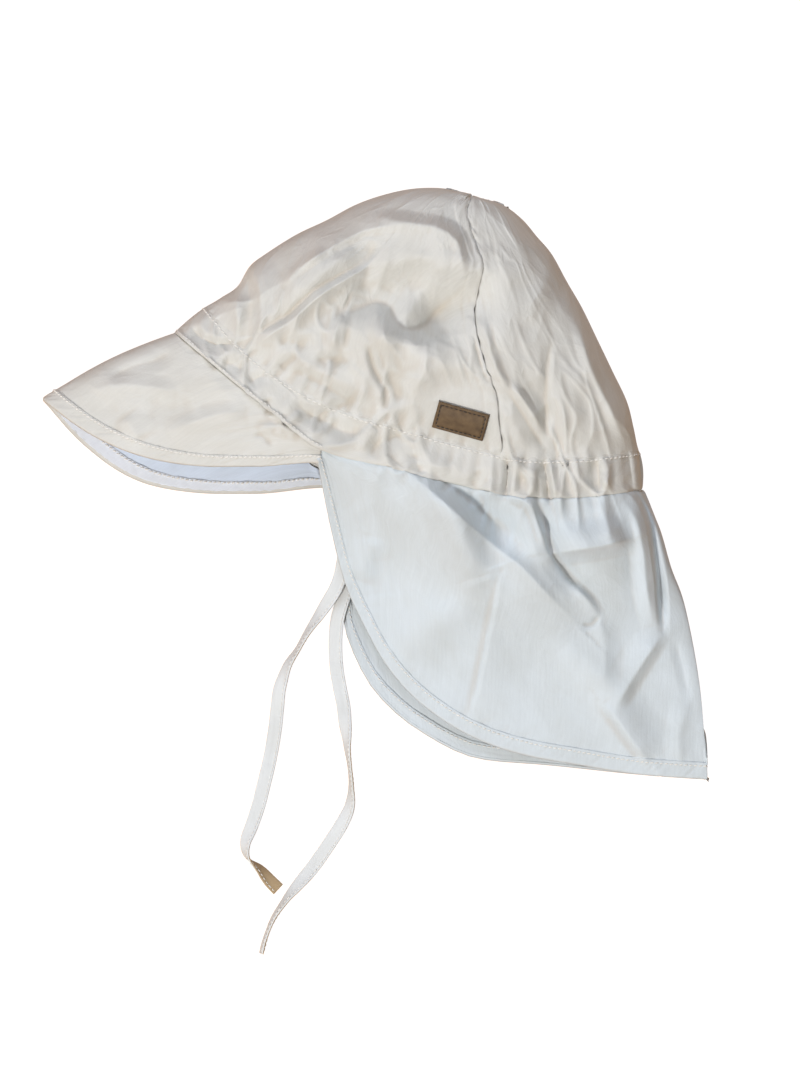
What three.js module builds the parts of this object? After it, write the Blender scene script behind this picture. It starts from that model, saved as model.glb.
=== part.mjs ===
// A child's legionnaire cap in white cotton, lying on its right side on a surface, with its left side up.
// +X runs from the peak to the nape, +Y towards the top of the crown and +Z up. Lengths are millimetres.
//
// Every panel is a stretch of one sewn skin. A place on the skin has a turn, which goes round the head
// from the front fold over the left side to the back fold and home under the right side, and a level,
// which goes from the hems (-2) and the foot of the casing (-1) to the casing's top (0) and the top of
// the crown (1).
import * as THREE from "three";

// Sizes of the cap as it lies
const CROWN_LENGTH = 194; // along the casing's top edge, from the front fold to the back fold
const CROWN_HEIGHT = 118; // from the casing at the nape to the highest point of the crown
const CROWN_DEPTH = 56; // the most that the left side of the crown stands above the surface
const CASING_WIDTH = 17;
const CASING_DEPTH = 41; // the most that the left side of the casing stands above the surface
const PEAK_REACH = 66; // along the front fold, from the casing to the tip
const PEAK_DEPTH = 34; // the most that the peak's left edge stands above the surface
const FLAP_LENGTH = 130; // down the nape, from the casing to the hem
const FLAP_DEPTH = 6.5; // the height of the left hem above the surface
const BINDING_WIDTH = 6;
const PATCH_LENGTH = 25;
const PATCH_WIDTH = 12;
const TIE_WIDTH = 6.5;

// Thicknesses: single cotton, two layers round an elastic, two layers round a stiffener, folded tape
const CLOTH_WALL = 1.2;
const CASING_WALL = 2;
const PEAK_WALL = 2.4;
const BINDING_WALL = 2;
const PATCH_WALL = 1.4;
const TIE_WALL = 1.4;
const SEAM_GAP = 0.4; // left between pieces that are sewn together
const PATCH_GAP = 0.3; // left under the patch
const CROWN_EYE = 2.2; // how far from the top of the crown the points of its panels end

// How the cloth rolls over at the front and back folds
const FOLD_RISE = 11; // height of the folds above the surface
const TIP_RISE = 5.5; // height of the fold at the peak's tip and at the flap's corner
const FULLNESS = 2.5; // 2 makes the upper side a round arch, and more makes it squarer
const ROLL_SPREAD = 1.25; // how far in the lower side comes down to the surface, as a share of the rise
const BEND_FADE = 1.5; // the higher, the lower on the crown the bend of the casing fades out

// Shares of the way from the front fold to the back fold at which pieces meet
const PEAK_END = 0.371;
const CORNER_SHARE = 0.008; // left between the end of the peak and the start of the flap
const FLAP_START = PEAK_END + CORNER_SHARE;
const SIDE_SEAM = 0.72; // the seam between the front and back crown panels

// The casing's top edge, at even steps from the front fold to the back fold: its place as shares of
// CROWN_LENGTH, and how far from it the bottom edge lies, as shares of CASING_WIDTH.
const CASING_LINE = [
  { along: 0, rise: 0.334, dropAlong: -0.82, dropRise: -0.66 },
  { along: 0.091, rise: 0.231, dropAlong: -0.54, dropRise: -0.6 },
  { along: 0.201, rise: 0.148, dropAlong: -0.55, dropRise: -0.66 },
  { along: 0.326, rise: 0.09, dropAlong: -0.6, dropRise: -1.02 },
  { along: 0.459, rise: 0.051, dropAlong: -0.18, dropRise: -1.05 },
  { along: 0.591, rise: 0.013, dropAlong: -0.15, dropRise: -1.03 },
  { along: 0.725, rise: -0.017, dropAlong: -0.05, dropRise: -0.99 },
  { along: 0.863, rise: -0.017, dropAlong: 0.03, dropRise: -1.02 },
  { along: 1, rise: 0, dropAlong: 0.11, dropRise: -1.01 },
];
// How far the casing's right side lies from its left side, as shares of CASING_WIDTH.
const RIGHT_SHIFT = { along: -0.1, rise: -0.52 };

// The crown's outline, as shares of the way from the casing's end to the top of the crown. The top's
// own place is in shares of CROWN_LENGTH and CROWN_HEIGHT.
const CROWN_TOP = { along: 0.615, rise: 0.966 };
const FRONT_OUTLINE = [
  { along: 0, rise: 0 },
  { along: 0.06, rise: 0.09 },
  { along: 0.12, rise: 0.19 },
  { along: 0.165, rise: 0.37 },
  { along: 0.226, rise: 0.486 },
  { along: 0.34, rise: 0.66 },
  { along: 0.453, rise: 0.79 },
  { along: 0.566, rise: 0.935 },
  { along: 0.68, rise: 1.03 },
  { along: 0.79, rise: 1.08 },
  { along: 0.9, rise: 1.075 },
  { along: 1, rise: 1 },
];
const BACK_OUTLINE = [
  { along: 0, rise: 0 },
  { along: 0.03, rise: 0.1 },
  { along: 0.07, rise: 0.2 },
  { along: 0.157, rise: 0.32 },
  { along: 0.247, rise: 0.443 },
  { along: 0.337, rise: 0.565 },
  { along: 0.428, rise: 0.668 },
  { along: 0.518, rise: 0.775 },
  { along: 0.608, rise: 0.845 },
  { along: 0.7, rise: 0.915 },
  { along: 0.82, rise: 0.97 },
  { along: 1, rise: 1 },
];
// How far the crown's left side puffs out, at even steps from the casing to the top of the crown, as
// shares of the height of CROWN_DEPTH above the folds. The casing's own height fades out on the way.
const CROWN_PUFF = [0, 0.35, 0.6, 0.76, 0.83, 0.81, 0.68, 0.42, 0];

// The peak's edge, from the tip to its end at the flap: its place from the seam, as shares of PEAK_REACH.
const PEAK_EDGE_LEFT = [
  { along: -0.894, rise: -0.447 },
  { along: -0.772, rise: -0.515 },
  { along: -0.603, rise: -0.505 },
  { along: -0.4, rise: -0.42 },
  { along: -0.203, rise: -0.264 },
  { along: -0.065, rise: -0.04 },
];
const PEAK_EDGE_RIGHT = [
  { along: -0.894, rise: -0.447 },
  { along: -0.793, rise: -0.571 },
  { along: -0.637, rise: -0.603 },
  { along: -0.423, rise: -0.508 },
  { along: -0.203, rise: -0.329 },
  { along: -0.065, rise: -0.045 },
];

// The flap's fold down the nape, from the casing, as shares of FLAP_LENGTH.
const FLAP_FOLD = [
  { along: 0, rise: 0 },
  { along: 0.059, rise: -0.128 },
  { along: 0.1, rise: -0.266 },
  { along: 0.149, rise: -0.405 },
  { along: 0.2, rise: -0.682 },
  { along: 0.225, rise: -1 },
];
// The flap's free edge, as shares of the way from its front corner to the foot of the nape fold.
const FLAP_EDGE_LEFT = [
  { along: -0.008, rise: 0.035 },
  { along: 0.024, rise: 0.239 },
  { along: 0.058, rise: 0.404 },
  { along: 0.107, rise: 0.532 },
  { along: 0.162, rise: 0.648 },
  { along: 0.233, rise: 0.746 },
  { along: 0.325, rise: 0.829 },
  { along: 0.421, rise: 0.887 },
  { along: 0.529, rise: 0.927 },
  { along: 0.66, rise: 0.955 },
  { along: 0.822, rise: 0.985 },
  { along: 1, rise: 1 },
];
const FLAP_EDGE_RIGHT = [
  { along: -0.008, rise: 0.04 },
  { along: 0.034, rise: 0.227 },
  { along: 0.054, rise: 0.356 },
  { along: 0.06, rise: 0.469 },
  { along: 0.078, rise: 0.566 },
  { along: 0.13, rise: 0.696 },
  { along: 0.202, rise: 0.793 },
  { along: 0.28, rise: 0.861 },
  { along: 0.358, rise: 0.913 },
  { along: 0.435, rise: 0.939 },
  { along: 0.591, rise: 0.955 },
  { along: 0.824, rise: 0.985 },
  { along: 1, rise: 1 },
];
const EDGE_HANG = 8; // the higher, the sooner the free edges leave the height of the casing's side

// The main folds of the side that faces up. A fold runs from one place to another, both given by the
// share of the way from front to back and by the level, and bows to one side by a share of its run.
// Its height (a valley's is negative) and its half width are shares of CASING_WIDTH.
const FOLDS = [
  { from: [0.1, 0.42], to: [0.12, 0.06], bow: 0.12, height: 0.34, width: 0.5 },
  { from: [0.13, 0.05], to: [0.42, 0.5], bow: 0.05, height: -0.42, width: 0.5 },
  { from: [0.3, 0.42], to: [0.52, 0.28], bow: 0.2, height: -0.5, width: 0.62 },
  { from: [0.52, 0.28], to: [0.68, 0.46], bow: 0.25, height: -0.5, width: 0.62 },
  { from: [0.34, 0.22], to: [0.62, 0.16], bow: 0.1, height: 0.28, width: 0.6 },
  { from: [0.37, 0.66], to: [0.68, 0.6], bow: -0.25, height: 0.25, width: 0.45 },
  { from: [0.44, 0.24], to: [0.49, 0.07], bow: -0.1, height: -0.3, width: 0.35 },
  { from: [0.74, 0.62], to: [0.7, 0.3], bow: 0, height: 0.2, width: 0.4 },
  { from: [0.76, 0.22], to: [0.83, 0.02], bow: 0.05, height: -0.25, width: 0.35 },
  { from: [0.24, 0.06], to: [0.37, 0.04], bow: -0.1, height: 0.3, width: 0.4 },
  { from: [0.6, -1.05], to: [0.7, -1.42], bow: 0.02, height: 0.42, width: 0.5 },
  { from: [0.67, -1.1], to: [0.74, -1.33], bow: 0.05, height: -0.4, width: 0.5 },
  { from: [0.8, -1.02], to: [0.87, -1.4], bow: -0.08, height: -0.36, width: 0.4 },
  { from: [0.8, -1.22], to: [0.95, -1.2], bow: 0, height: 0.26, width: 0.5 },
  { from: [0.96, -1.04], to: [0.95, -1.5], bow: 0, height: -0.3, width: 0.35 },
  { from: [0.72, -1.42], to: [0.62, -1.9], bow: 0, height: 0.2, width: 0.6 },
  { from: [0.84, -1.66], to: [0.93, -1.93], bow: 0.05, height: 0.22, width: 0.5 },
  { from: [0.48, -1.5], to: [0.58, -1.75], bow: 0.1, height: -0.2, width: 0.6 },
];
const FOLD_END = 0.12; // share of a half wave that a fold leaves out at each end
const FOLD_ARCH = { none: 0.35, whole: 0.9 }; // how round the side is where the folds set in

// The gathers that the elastic makes at the back of the casing, and their spread up and down it
const GATHERS = 9;
const GATHER_START = 0.7; // share of the casing's length
const GATHER_HEIGHT = 0.8;
const GATHER_BAND = { middle: -0.5, spread: 0.6 }; // levels

// The patch's middle on the crown and its slope. The cloth is smooth under it, and its folds set in
// around it at these shares of PATCH_LENGTH from its middle.
const PATCH_PLACE = { share: 0.612, level: 0.078 };
const PATCH_TURN = -0.26; // radians
const PATCH_CLEAR = { none: 0.55, whole: 1.1 };

// The ties' centrelines, with the height of their lower edge (lift) and their lean: 0 lies flat and 90
// stands on edge, in degrees. They stay where they were laid.
const TIE_LEFT_ROUTE = [
  { x: -9.4, y: 6.1, lift: 34.9, lean: 0 },
  { x: -10.7, y: -7.4, lift: 21.4, lean: 0 },
  { x: -12.2, y: -20.9, lift: 12.9, lean: 0 },
  { x: -14, y: -32.2, lift: 8.6, lean: 0 },
  { x: -15.8, y: -41.2, lift: 6, lean: 6 },
  { x: -18.9, y: -48.8, lift: 4.6, lean: 12 },
  { x: -24.8, y: -57.8, lift: 1.2, lean: 25 },
  { x: -28.8, y: -63.7, lift: 0.1, lean: 45 },
  { x: -34.2, y: -72.7, lift: 0.1, lean: 72 },
  { x: -39.6, y: -81.7, lift: 0.1, lean: 55 },
  { x: -42.8, y: -90.7, lift: 0.1, lean: 30 },
  { x: -44.1, y: -99.7, lift: 0.1, lean: 12 },
  { x: -45, y: -108.7, lift: 0.1, lean: 4 },
  { x: -46.4, y: -117.7, lift: 0.1, lean: 0 },
  { x: -48.2, y: -126.7, lift: 0.1, lean: 0 },
  { x: -50.4, y: -135.7, lift: 0.1, lean: 0 },
  { x: -52.7, y: -144.7, lift: 0.1, lean: 4 },
  { x: -55.8, y: -153.7, lift: 0.1, lean: 18 },
  { x: -58.4, y: -161.5, lift: 0.1, lean: 45 },
  { x: -57.3, y: -168, lift: 0.1, lean: 65 },
  { x: -51.8, y: -173, lift: 0.1, lean: 70 },
  { x: -47.3, y: -178.4, lift: 0.1, lean: 66 },
  { x: -43.7, y: -182, lift: 0.1, lean: 60 },
];
const TIE_RIGHT_ROUTE = [
  { x: -8.6, y: -2.9, lift: 1.7, lean: 0 },
  { x: -9.5, y: -14.2, lift: 1.7, lean: 0 },
  { x: -10.4, y: -25.4, lift: 2.4, lean: 0 },
  { x: -11.7, y: -36.7, lift: 2.5, lean: 0 },
  { x: -13.5, y: -47.9, lift: 2.6, lean: 0 },
  { x: -16.2, y: -56.9, lift: 2.4, lean: 0 },
  { x: -17.6, y: -63.7, lift: 0.9, lean: 6 },
  { x: -18, y: -72.7, lift: 0.1, lean: 10 },
  { x: -17.6, y: -81.7, lift: 0.1, lean: 6 },
  { x: -16.2, y: -90.7, lift: 0.1, lean: 2 },
  { x: -14.4, y: -99.7, lift: 0.1, lean: 4 },
  { x: -13.5, y: -108.7, lift: 0.1, lean: 30 },
  { x: -12.6, y: -117.7, lift: 0.1, lean: 65 },
  { x: -11.7, y: -126.7, lift: 0.1, lean: 78 },
  { x: -10.8, y: -135.7, lift: 0.1, lean: 74 },
  { x: -11.7, y: -144.7, lift: 0.1, lean: 45 },
  { x: -15.8, y: -153.7, lift: 0.1, lean: 14 },
  { x: -21.6, y: -162.7, lift: 0.1, lean: 4 },
  { x: -27.9, y: -171.7, lift: 0.1, lean: 8 },
  { x: -35.4, y: -180.7, lift: 0.1, lean: 40 },
  { x: -41, y: -187.4, lift: 0.1, lean: 66 },
  { x: -47.7, y: -198.7, lift: 0.1, lean: 78 },
  { x: -51.3, y: -210.8, lift: 0.1, lean: 78 },
];

// Fineness of the faces: steps between the places where pieces meet, on the left side that shows and
// on the flat right side, and from edge to edge of each piece
const STEPS_LEFT = [16, 1, 13, 15];
const STEPS_RIGHT = [8, 1, 8, 6];
const CROWN_STEPS = 16;
const CROWN_SPACING = 1.3; // above 1 the crown's faces are smaller near the casing than near the top
const CASING_STEPS = 3;
const PEAK_STEPS = 7;
const FLAP_STEPS = 15;
const BINDING_STEPS = 1;
const TIE_STEPS = 40;
const PATCH_STEPS = [6, 3];
const OUTLINE_STEPS = 60;
const FOLD_STEPS = 12;
const NUDGE = 1e-3; // the change of turn or level over which slopes are taken

const cotton = new THREE.MeshStandardMaterial({ color: 0xeee9e1, roughness: 0.85 });
const leather = new THREE.MeshStandardMaterial({ color: 0x84613f, roughness: 0.6 });

const mix = THREE.MathUtils.lerp;
const FULL_TURN = 2 * Math.PI;

// A row's place as shares of a length, counted from a point.
function from(start, length) {
  return (row) => new THREE.Vector2(start.x + row.along * length, start.y + row.rise * length);
}

// A row's place as shares of the way between two points.
function between(start, end) {
  return (row) => new THREE.Vector2(mix(start.x, end.x, row.along), mix(start.y, end.y, row.rise));
}

// The curves that give the plan of one side of the cap. shift moves its casing.
function planOf(shift, peakEdge, flapEdge) {
  const origin = new THREE.Vector2(0, 0);
  const slide = (i) => {
    const most = CASING_WIDTH * Math.sin((Math.PI * i) / (CASING_LINE.length - 1));
    return new THREE.Vector2(shift.along, shift.rise).multiplyScalar(most);
  };
  const top = CASING_LINE.map((row, i) => from(origin, CROWN_LENGTH)(row).add(slide(i)));
  const foot = CASING_LINE.map((row, i) => {
    const drop = new THREE.Vector2(row.dropAlong, row.dropRise).multiplyScalar(CASING_WIDTH);
    return drop.add(top[i]);
  });
  const casingTop = new THREE.SplineCurve(top);
  const casingFoot = new THREE.SplineCurve(foot);
  const crownTop = new THREE.Vector2(CROWN_TOP.along * CROWN_LENGTH, CROWN_TOP.rise * CROWN_HEIGHT);
  const flapCorner = casingFoot.getPoint(FLAP_START);
  const flapFold = new THREE.SplineCurve(FLAP_FOLD.map(from(casingFoot.getPoint(1), FLAP_LENGTH)));
  const hemEnd = flapFold.getPoint(1);
  return {
    casingTop,
    casingFoot,
    flapFold,
    frontOutline: new THREE.SplineCurve(FRONT_OUTLINE.map(between(top[0], crownTop))),
    backOutline: new THREE.SplineCurve(BACK_OUTLINE.map(between(casingTop.getPoint(1), crownTop))),
    peakEdge: new THREE.SplineCurve(peakEdge.map(from(origin, PEAK_REACH))),
    flapEdge: new THREE.SplineCurve(flapEdge.map(between(flapCorner, hemEnd))),
  };
}

const LEFT = planOf({ along: 0, rise: 0 }, PEAK_EDGE_LEFT, FLAP_EDGE_LEFT);
const RIGHT = planOf(RIGHT_SHIFT, PEAK_EDGE_RIGHT, FLAP_EDGE_RIGHT);

// The share of the way from the front fold to the back fold that a turn has reached, on either side.
function shareOf(turn) {
  return (1 - Math.cos(turn)) / 2;
}

function turnOf(share) {
  return Math.acos(1 - 2 * share);
}

// Whether the peak, and not the flap, hangs from the casing at a turn.
function overPeak(turn) {
  return shareOf(turn) < (PEAK_END + FLAP_START) / 2;
}

// The share of the flap's own way from its front corner to the nape.
function shareOfFlap(share) {
  return Math.max(0, share - FLAP_START) / (1 - FLAP_START);
}

// The plan place of a share and a level on one side. Below the casing it is on the peak or on the flap.
function planPlace(side, share, level, onPeak) {
  if (level >= 0) {
    const front = side.frontOutline.getPointAt(Math.min(level, 1));
    const back = side.backOutline.getPointAt(Math.min(level, 1));
    const straight = side.casingTop.getPoint(0).lerp(side.casingTop.getPoint(1), share);
    const bend = side.casingTop.getPoint(share).sub(straight);
    return front.lerp(back, share).addScaledVector(bend, Math.max(0, 1 - level) ** BEND_FADE);
  }
  const foot = side.casingFoot.getPoint(share);
  if (level >= -1) return side.casingTop.getPoint(share).lerp(foot, -level);
  const down = -1 - level;
  if (onPeak) return foot.addScaledVector(side.peakEdge.getPoint(share / PEAK_END), down);
  const across = shareOfFlap(share);
  const straight = side.flapFold.getPoint(0).lerp(side.flapFold.getPoint(1), down);
  const bow = side.flapFold.getPoint(down).sub(straight);
  return foot.lerp(side.flapEdge.getPointAt(across), down).addScaledVector(bow, across ** 2);
}

// How round the upper side is at a share: 0 at the folds and 1 halfway.
function arch(share) {
  return Math.sqrt(1 - Math.abs(2 * share - 1) ** FULLNESS);
}

// The height of the folds' own line at a level.
function foldRise(level) {
  return level < -1 ? mix(FOLD_RISE, TIP_RISE, -1 - level) : FOLD_RISE;
}

const crownPuff = new THREE.SplineCurve(CROWN_PUFF.map((puff, i) => new THREE.Vector2(i, puff)));

// How far the side that faces up stands above the folds, before its wrinkles.
function bulge(share, level, onPeak) {
  const casing = (CASING_DEPTH - FOLD_RISE) * arch(share);
  if (level >= 0) {
    const puff = (CROWN_DEPTH - FOLD_RISE) * crownPuff.getPoint(Math.min(level, 1)).y;
    return puff * arch(share) + casing * Math.max(0, 1 - level) ** 2;
  }
  if (level >= -1) return casing;
  const down = -1 - level;
  if (onPeak) {
    const toTip = 1 - share / PEAK_END;
    const edge = (PEAK_DEPTH - TIP_RISE) * Math.sqrt(1 - toTip ** 2);
    const climb = (CASING_DEPTH - PEAK_DEPTH) * (1 - toTip) ** EDGE_HANG;
    return mix(casing, edge + climb, down);
  }
  const across = shareOfFlap(share);
  const hem = (FLAP_DEPTH - TIP_RISE) * Math.sqrt(1 - across ** 4);
  const hang = (CASING_DEPTH - FLAP_DEPTH) * (1 - across) ** EDGE_HANG;
  return mix(hem + hang, casing, THREE.MathUtils.smoothstep(1 - down, 0, 1));
}

const crownOutline = [RIGHT.frontOutline, RIGHT.backOutline].map((curve) => curve.getPoints(OUTLINE_STEPS));

// The distance from a place to the nearest point of a path.
function distanceTo(path, place) {
  const away = path.slice(1).map((end, i) => {
    const run = end.clone().sub(path[i]);
    const along = place.clone().sub(path[i]).dot(run) / run.lengthSq();
    return run.multiplyScalar(THREE.MathUtils.clamp(along, 0, 1)).add(path[i]).distanceTo(place);
  });
  return Math.min(...away);
}

// The height of the side that lies on the surface: it rolls down to it from the folds and the outline.
function restHeight(place, level) {
  const rise = foldRise(level);
  const away = [0, 1].map((end) => planPlace(RIGHT, end, level, end === 0).distanceTo(place));
  if (level > 0) away.push(...crownOutline.map((path) => distanceTo(path, place)));
  const inward = Math.min(...away);
  const left = Math.max(0, 1 - inward / (ROLL_SPREAD * rise));
  return rise * (1 - Math.sqrt(1 - left ** 2));
}

const foldLines = FOLDS.map((fold) => {
  const [start, end] = [fold.from, fold.to].map(([share, level]) => planPlace(LEFT, share, level, false));
  const run = end.clone().sub(start);
  const bow = new THREE.Vector2(-run.y, run.x).multiplyScalar(fold.bow);
  const middle = start.clone().lerp(end, 0.5).add(bow);
  const line = new THREE.SplineCurve([start, middle, end]).getPoints(FOLD_STEPS);
  return { line, height: fold.height * CASING_WIDTH, width: fold.width * CASING_WIDTH };
});

// How much the folds raise the side that faces up, at a plan place.
function foldsAt(place) {
  let raised = 0;
  for (const { line, height, width } of foldLines) {
    const away = line.map((point) => point.distanceTo(place));
    const nearest = Math.min(...away);
    const along = away.indexOf(nearest) / (line.length - 1);
    const most = height * Math.sin(Math.PI * mix(FOLD_END, 1 - FOLD_END, along));
    raised += most * Math.exp(-((nearest / width) ** 2));
  }
  return raised;
}

// How much the elastic's gathers raise it.
function gathersAt(share, level) {
  const across = (share - GATHER_START) / (1 - GATHER_START);
  if (across <= 0) return 0;
  const off = (level - GATHER_BAND.middle) / GATHER_BAND.spread;
  const fade = Math.sin(Math.PI * across) * Math.exp(-(off ** 2));
  return GATHER_HEIGHT * fade * Math.sin(FULL_TURN * GATHERS * across);
}

// How much of the folds there is at a value, between none of them and the whole.
function setIn(value, { none, whole }) {
  return THREE.MathUtils.smoothstep(value, none, whole);
}

const patchMiddle = planPlace(LEFT, PATCH_PLACE.share, PATCH_PLACE.level);

// The outer face of the skin at a turn and a level.
function skin(turn, level, onPeak = overPeak(turn)) {
  const share = shareOf(turn);
  const leftSide = Math.sin(turn) >= 0;
  const place = planPlace(leftSide ? LEFT : RIGHT, share, level, onPeak);
  if (!leftSide) return new THREE.Vector3(place.x, place.y, restHeight(place, level));
  const loose = setIn(arch(share), FOLD_ARCH);
  const pastPatch = setIn(place.distanceTo(patchMiddle) / PATCH_LENGTH, PATCH_CLEAR);
  const wrinkles = (foldsAt(place) + gathersAt(share, level)) * loose * pastPatch;
  return new THREE.Vector3(place.x, place.y, foldRise(level) + bulge(share, level, onPeak) + wrinkles);
}

// The outward direction there. At a seam it halves the bend, so that the pieces which meet there are
// cut alike. Below the casing it isn't taken past the first and last turns of a piece.
function outward(turn, level, panel) {
  const hangs = level < -1;
  const onPeak = hangs ? panel.onPeak : overPeak(turn);
  const [first, last] = hangs ? [panel.turns[0], panel.turns.at(-1)] : [-Infinity, Infinity];
  const ahead = skin(Math.min(turn + NUDGE, last), level, onPeak);
  const behind = skin(Math.max(turn - NUDGE, first), level, onPeak);
  const here = skin(turn, level, onPeak);
  const above = skin(turn, level + NUDGE, onPeak).sub(here).normalize();
  const below = here.sub(skin(turn, level - NUDGE, onPeak)).normalize();
  return ahead.sub(behind).cross(above.add(below)).normalize();
}

// A closed sheet between an outer and an inner grid of points. A grid holds columns of points. Columns
// that close into a ring have no side edges, and other edges are drawn in by half a seam's gap.
function sheet(name, outer, inner, material, ring = false) {
  const columns = outer.length;
  const rows = outer[0].length;
  const points = [outer, inner].flatMap((grid) => inset(grid, ring).flat());
  const at = (side, i, j) => side * columns * rows + (i % columns) * rows + j;
  const faces = [];
  const quad = (a, b, c, d) => faces.push(a, b, c, a, c, d);
  const wide = ring ? columns : columns - 1;
  for (let i = 0; i < wide; i++) {
    for (let j = 0; j < rows - 1; j++) {
      quad(at(0, i, j), at(0, i + 1, j), at(0, i + 1, j + 1), at(0, i, j + 1));
      quad(at(1, i, j), at(1, i, j + 1), at(1, i + 1, j + 1), at(1, i + 1, j));
    }
    quad(at(1, i, 0), at(1, i + 1, 0), at(0, i + 1, 0), at(0, i, 0));
    quad(at(0, i + 1, rows - 1), at(1, i + 1, rows - 1), at(1, i, rows - 1), at(0, i, rows - 1));
  }
  for (let j = 0; !ring && j < rows - 1; j++) {
    quad(at(1, 0, j), at(0, 0, j), at(0, 0, j + 1), at(1, 0, j + 1));
    quad(at(1, columns - 1, j), at(1, columns - 1, j + 1), at(0, columns - 1, j + 1), at(0, columns - 1, j));
  }
  const geometry = new THREE.BufferGeometry().setFromPoints(points);
  geometry.setIndex(faces);
  geometry.computeVertexNormals();
  const mesh = new THREE.Mesh(geometry, material);
  mesh.name = name;
  return mesh;
}

// A line of points, shortened by half a seam's gap at each end.
function drawnIn(line) {
  const path = new THREE.CurvePath();
  line.slice(1).forEach((end, i) => path.add(new THREE.LineCurve3(line[i], end)));
  const length = path.getLength();
  const cut = SEAM_GAP / 2 / length;
  const gone = [0, ...path.getCurveLengths()];
  return line.map((_, i) => path.getPoint(mix(cut, 1 - cut, gone[i] / length)));
}

// A grid of points with its edges drawn in.
function inset(grid, ring) {
  const columns = grid.map(drawnIn);
  if (ring) return columns;
  const rows = columns[0].map((_, j) => drawnIn(columns.map((column) => column[j])));
  return columns.map((_, i) => rows.map((row) => row[i]));
}

// Stretches of turns between the places where pieces meet: four over the left side, from the front fold
// to the back fold, and four home under the right side.
const MEETING_TURNS = [0, PEAK_END, FLAP_START, SIDE_SEAM, 1].map(turnOf);
const STRETCHES = [
  ...STEPS_LEFT.map((steps, i) => ({ start: MEETING_TURNS[i], end: MEETING_TURNS[i + 1], steps })),
  ...STEPS_RIGHT.map((steps, i) => ({
    start: FULL_TURN - MEETING_TURNS[i + 1],
    end: FULL_TURN - MEETING_TURNS[i],
    steps,
  })).reverse(),
];

// The turns of a piece's columns over some stretches, by number. Those past the last come round again.
function turnsOver(first, last) {
  const turns = [];
  for (let n = first; n <= last; n++) {
    const { start, end, steps } = STRETCHES[n % STRETCHES.length];
    const round = n < STRETCHES.length ? 0 : FULL_TURN;
    for (let i = n === first ? 0 : 1; i <= steps; i++) turns.push(mix(start, end, i / steps) + round);
  }
  return turns;
}

// A piece of the skin. A panel has its turns, and levelAt(turn, share) gives the level at a share of the
// way up a column.
function piece(name, panel, { levelAt, steps, wall }) {
  const outer = [];
  const inner = [];
  for (const turn of panel.turns) {
    const levels = Array.from({ length: steps + 1 }, (_, j) => levelAt(turn, j / steps));
    const faces = levels.map((level) => skin(turn, level, panel.onPeak));
    const walls = levels.map((level) => outward(turn, level, panel).multiplyScalar(-wall));
    outer.push(faces);
    inner.push(faces.map((point, j) => point.clone().add(walls[j])));
  }
  return sheet(name, outer, inner, cotton, panel.ring);
}

// The level at which the binding of the peak or flap begins. It narrows where the cloth runs out.
function bindingLevel(turn, onPeak) {
  const share = shareOf(turn);
  const side = Math.sin(turn) >= 0 ? LEFT : RIGHT;
  const length = planPlace(side, share, -1).distanceTo(planPlace(side, share, -2, onPeak));
  return -2 + BINDING_WIDTH / (length + BINDING_WIDTH);
}

function crownPanel(name, first, last) {
  const top = 1 - CROWN_EYE / LEFT.frontOutline.getLength();
  const levelAt = (_, up) => up ** CROWN_SPACING * top;
  return piece(name, { turns: turnsOver(first, last) }, { levelAt, steps: CROWN_STEPS, wall: CLOTH_WALL });
}

function casing() {
  const turns = turnsOver(0, 7).slice(0, -1);
  const levelAt = (_, up) => up - 1;
  return piece("casing", { turns, ring: true }, { levelAt, steps: CASING_STEPS, wall: CASING_WALL });
}

// The peak is on both sides of the front fold, and the flap on both sides of the nape's.
const PEAK = { turns: turnsOver(7, 8), onPeak: true };
const FLAP = { turns: turnsOver(2, 5), onPeak: false };

function hanging(name, panel, steps, wall) {
  const levelAt = (turn, up) => mix(bindingLevel(turn, panel.onPeak), -1, up);
  return piece(name, panel, { levelAt, steps, wall });
}

function binding(name, panel) {
  const levelAt = (turn, up) => mix(-2, bindingLevel(turn, panel.onPeak), up);
  return piece(name, panel, { levelAt, steps: BINDING_STEPS, wall: BINDING_WALL });
}

// The patch lies on the crown's left side, flat where the cloth has no folds.
function patch() {
  const { share, level } = PATCH_PLACE;
  const round = planPlace(LEFT, share + NUDGE, level).sub(patchMiddle).divideScalar(NUDGE);
  const up = planPlace(LEFT, share, level + NUDGE).sub(patchMiddle).divideScalar(NUDGE);
  const area = round.cross(up);
  const outer = [];
  const inner = [];
  for (let i = 0; i <= PATCH_STEPS[0]; i++) {
    const faces = Array.from({ length: PATCH_STEPS[1] + 1 }, (_, j) => {
      const away = new THREE.Vector2(
        (i / PATCH_STEPS[0] - 0.5) * PATCH_LENGTH,
        (j / PATCH_STEPS[1] - 0.5) * PATCH_WIDTH,
      ).rotateAround(new THREE.Vector2(0, 0), PATCH_TURN);
      const turn = turnOf(share + away.cross(up) / area);
      const height = level + round.cross(away) / area;
      return { point: skin(turn, height), out: outward(turn, height) };
    });
    outer.push(faces.map(({ point, out }) => point.clone().addScaledVector(out, PATCH_GAP + PATCH_WALL)));
    inner.push(faces.map(({ point, out }) => point.clone().addScaledVector(out, PATCH_GAP)));
  }
  return sheet("patch", outer, inner, leather);
}

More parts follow.
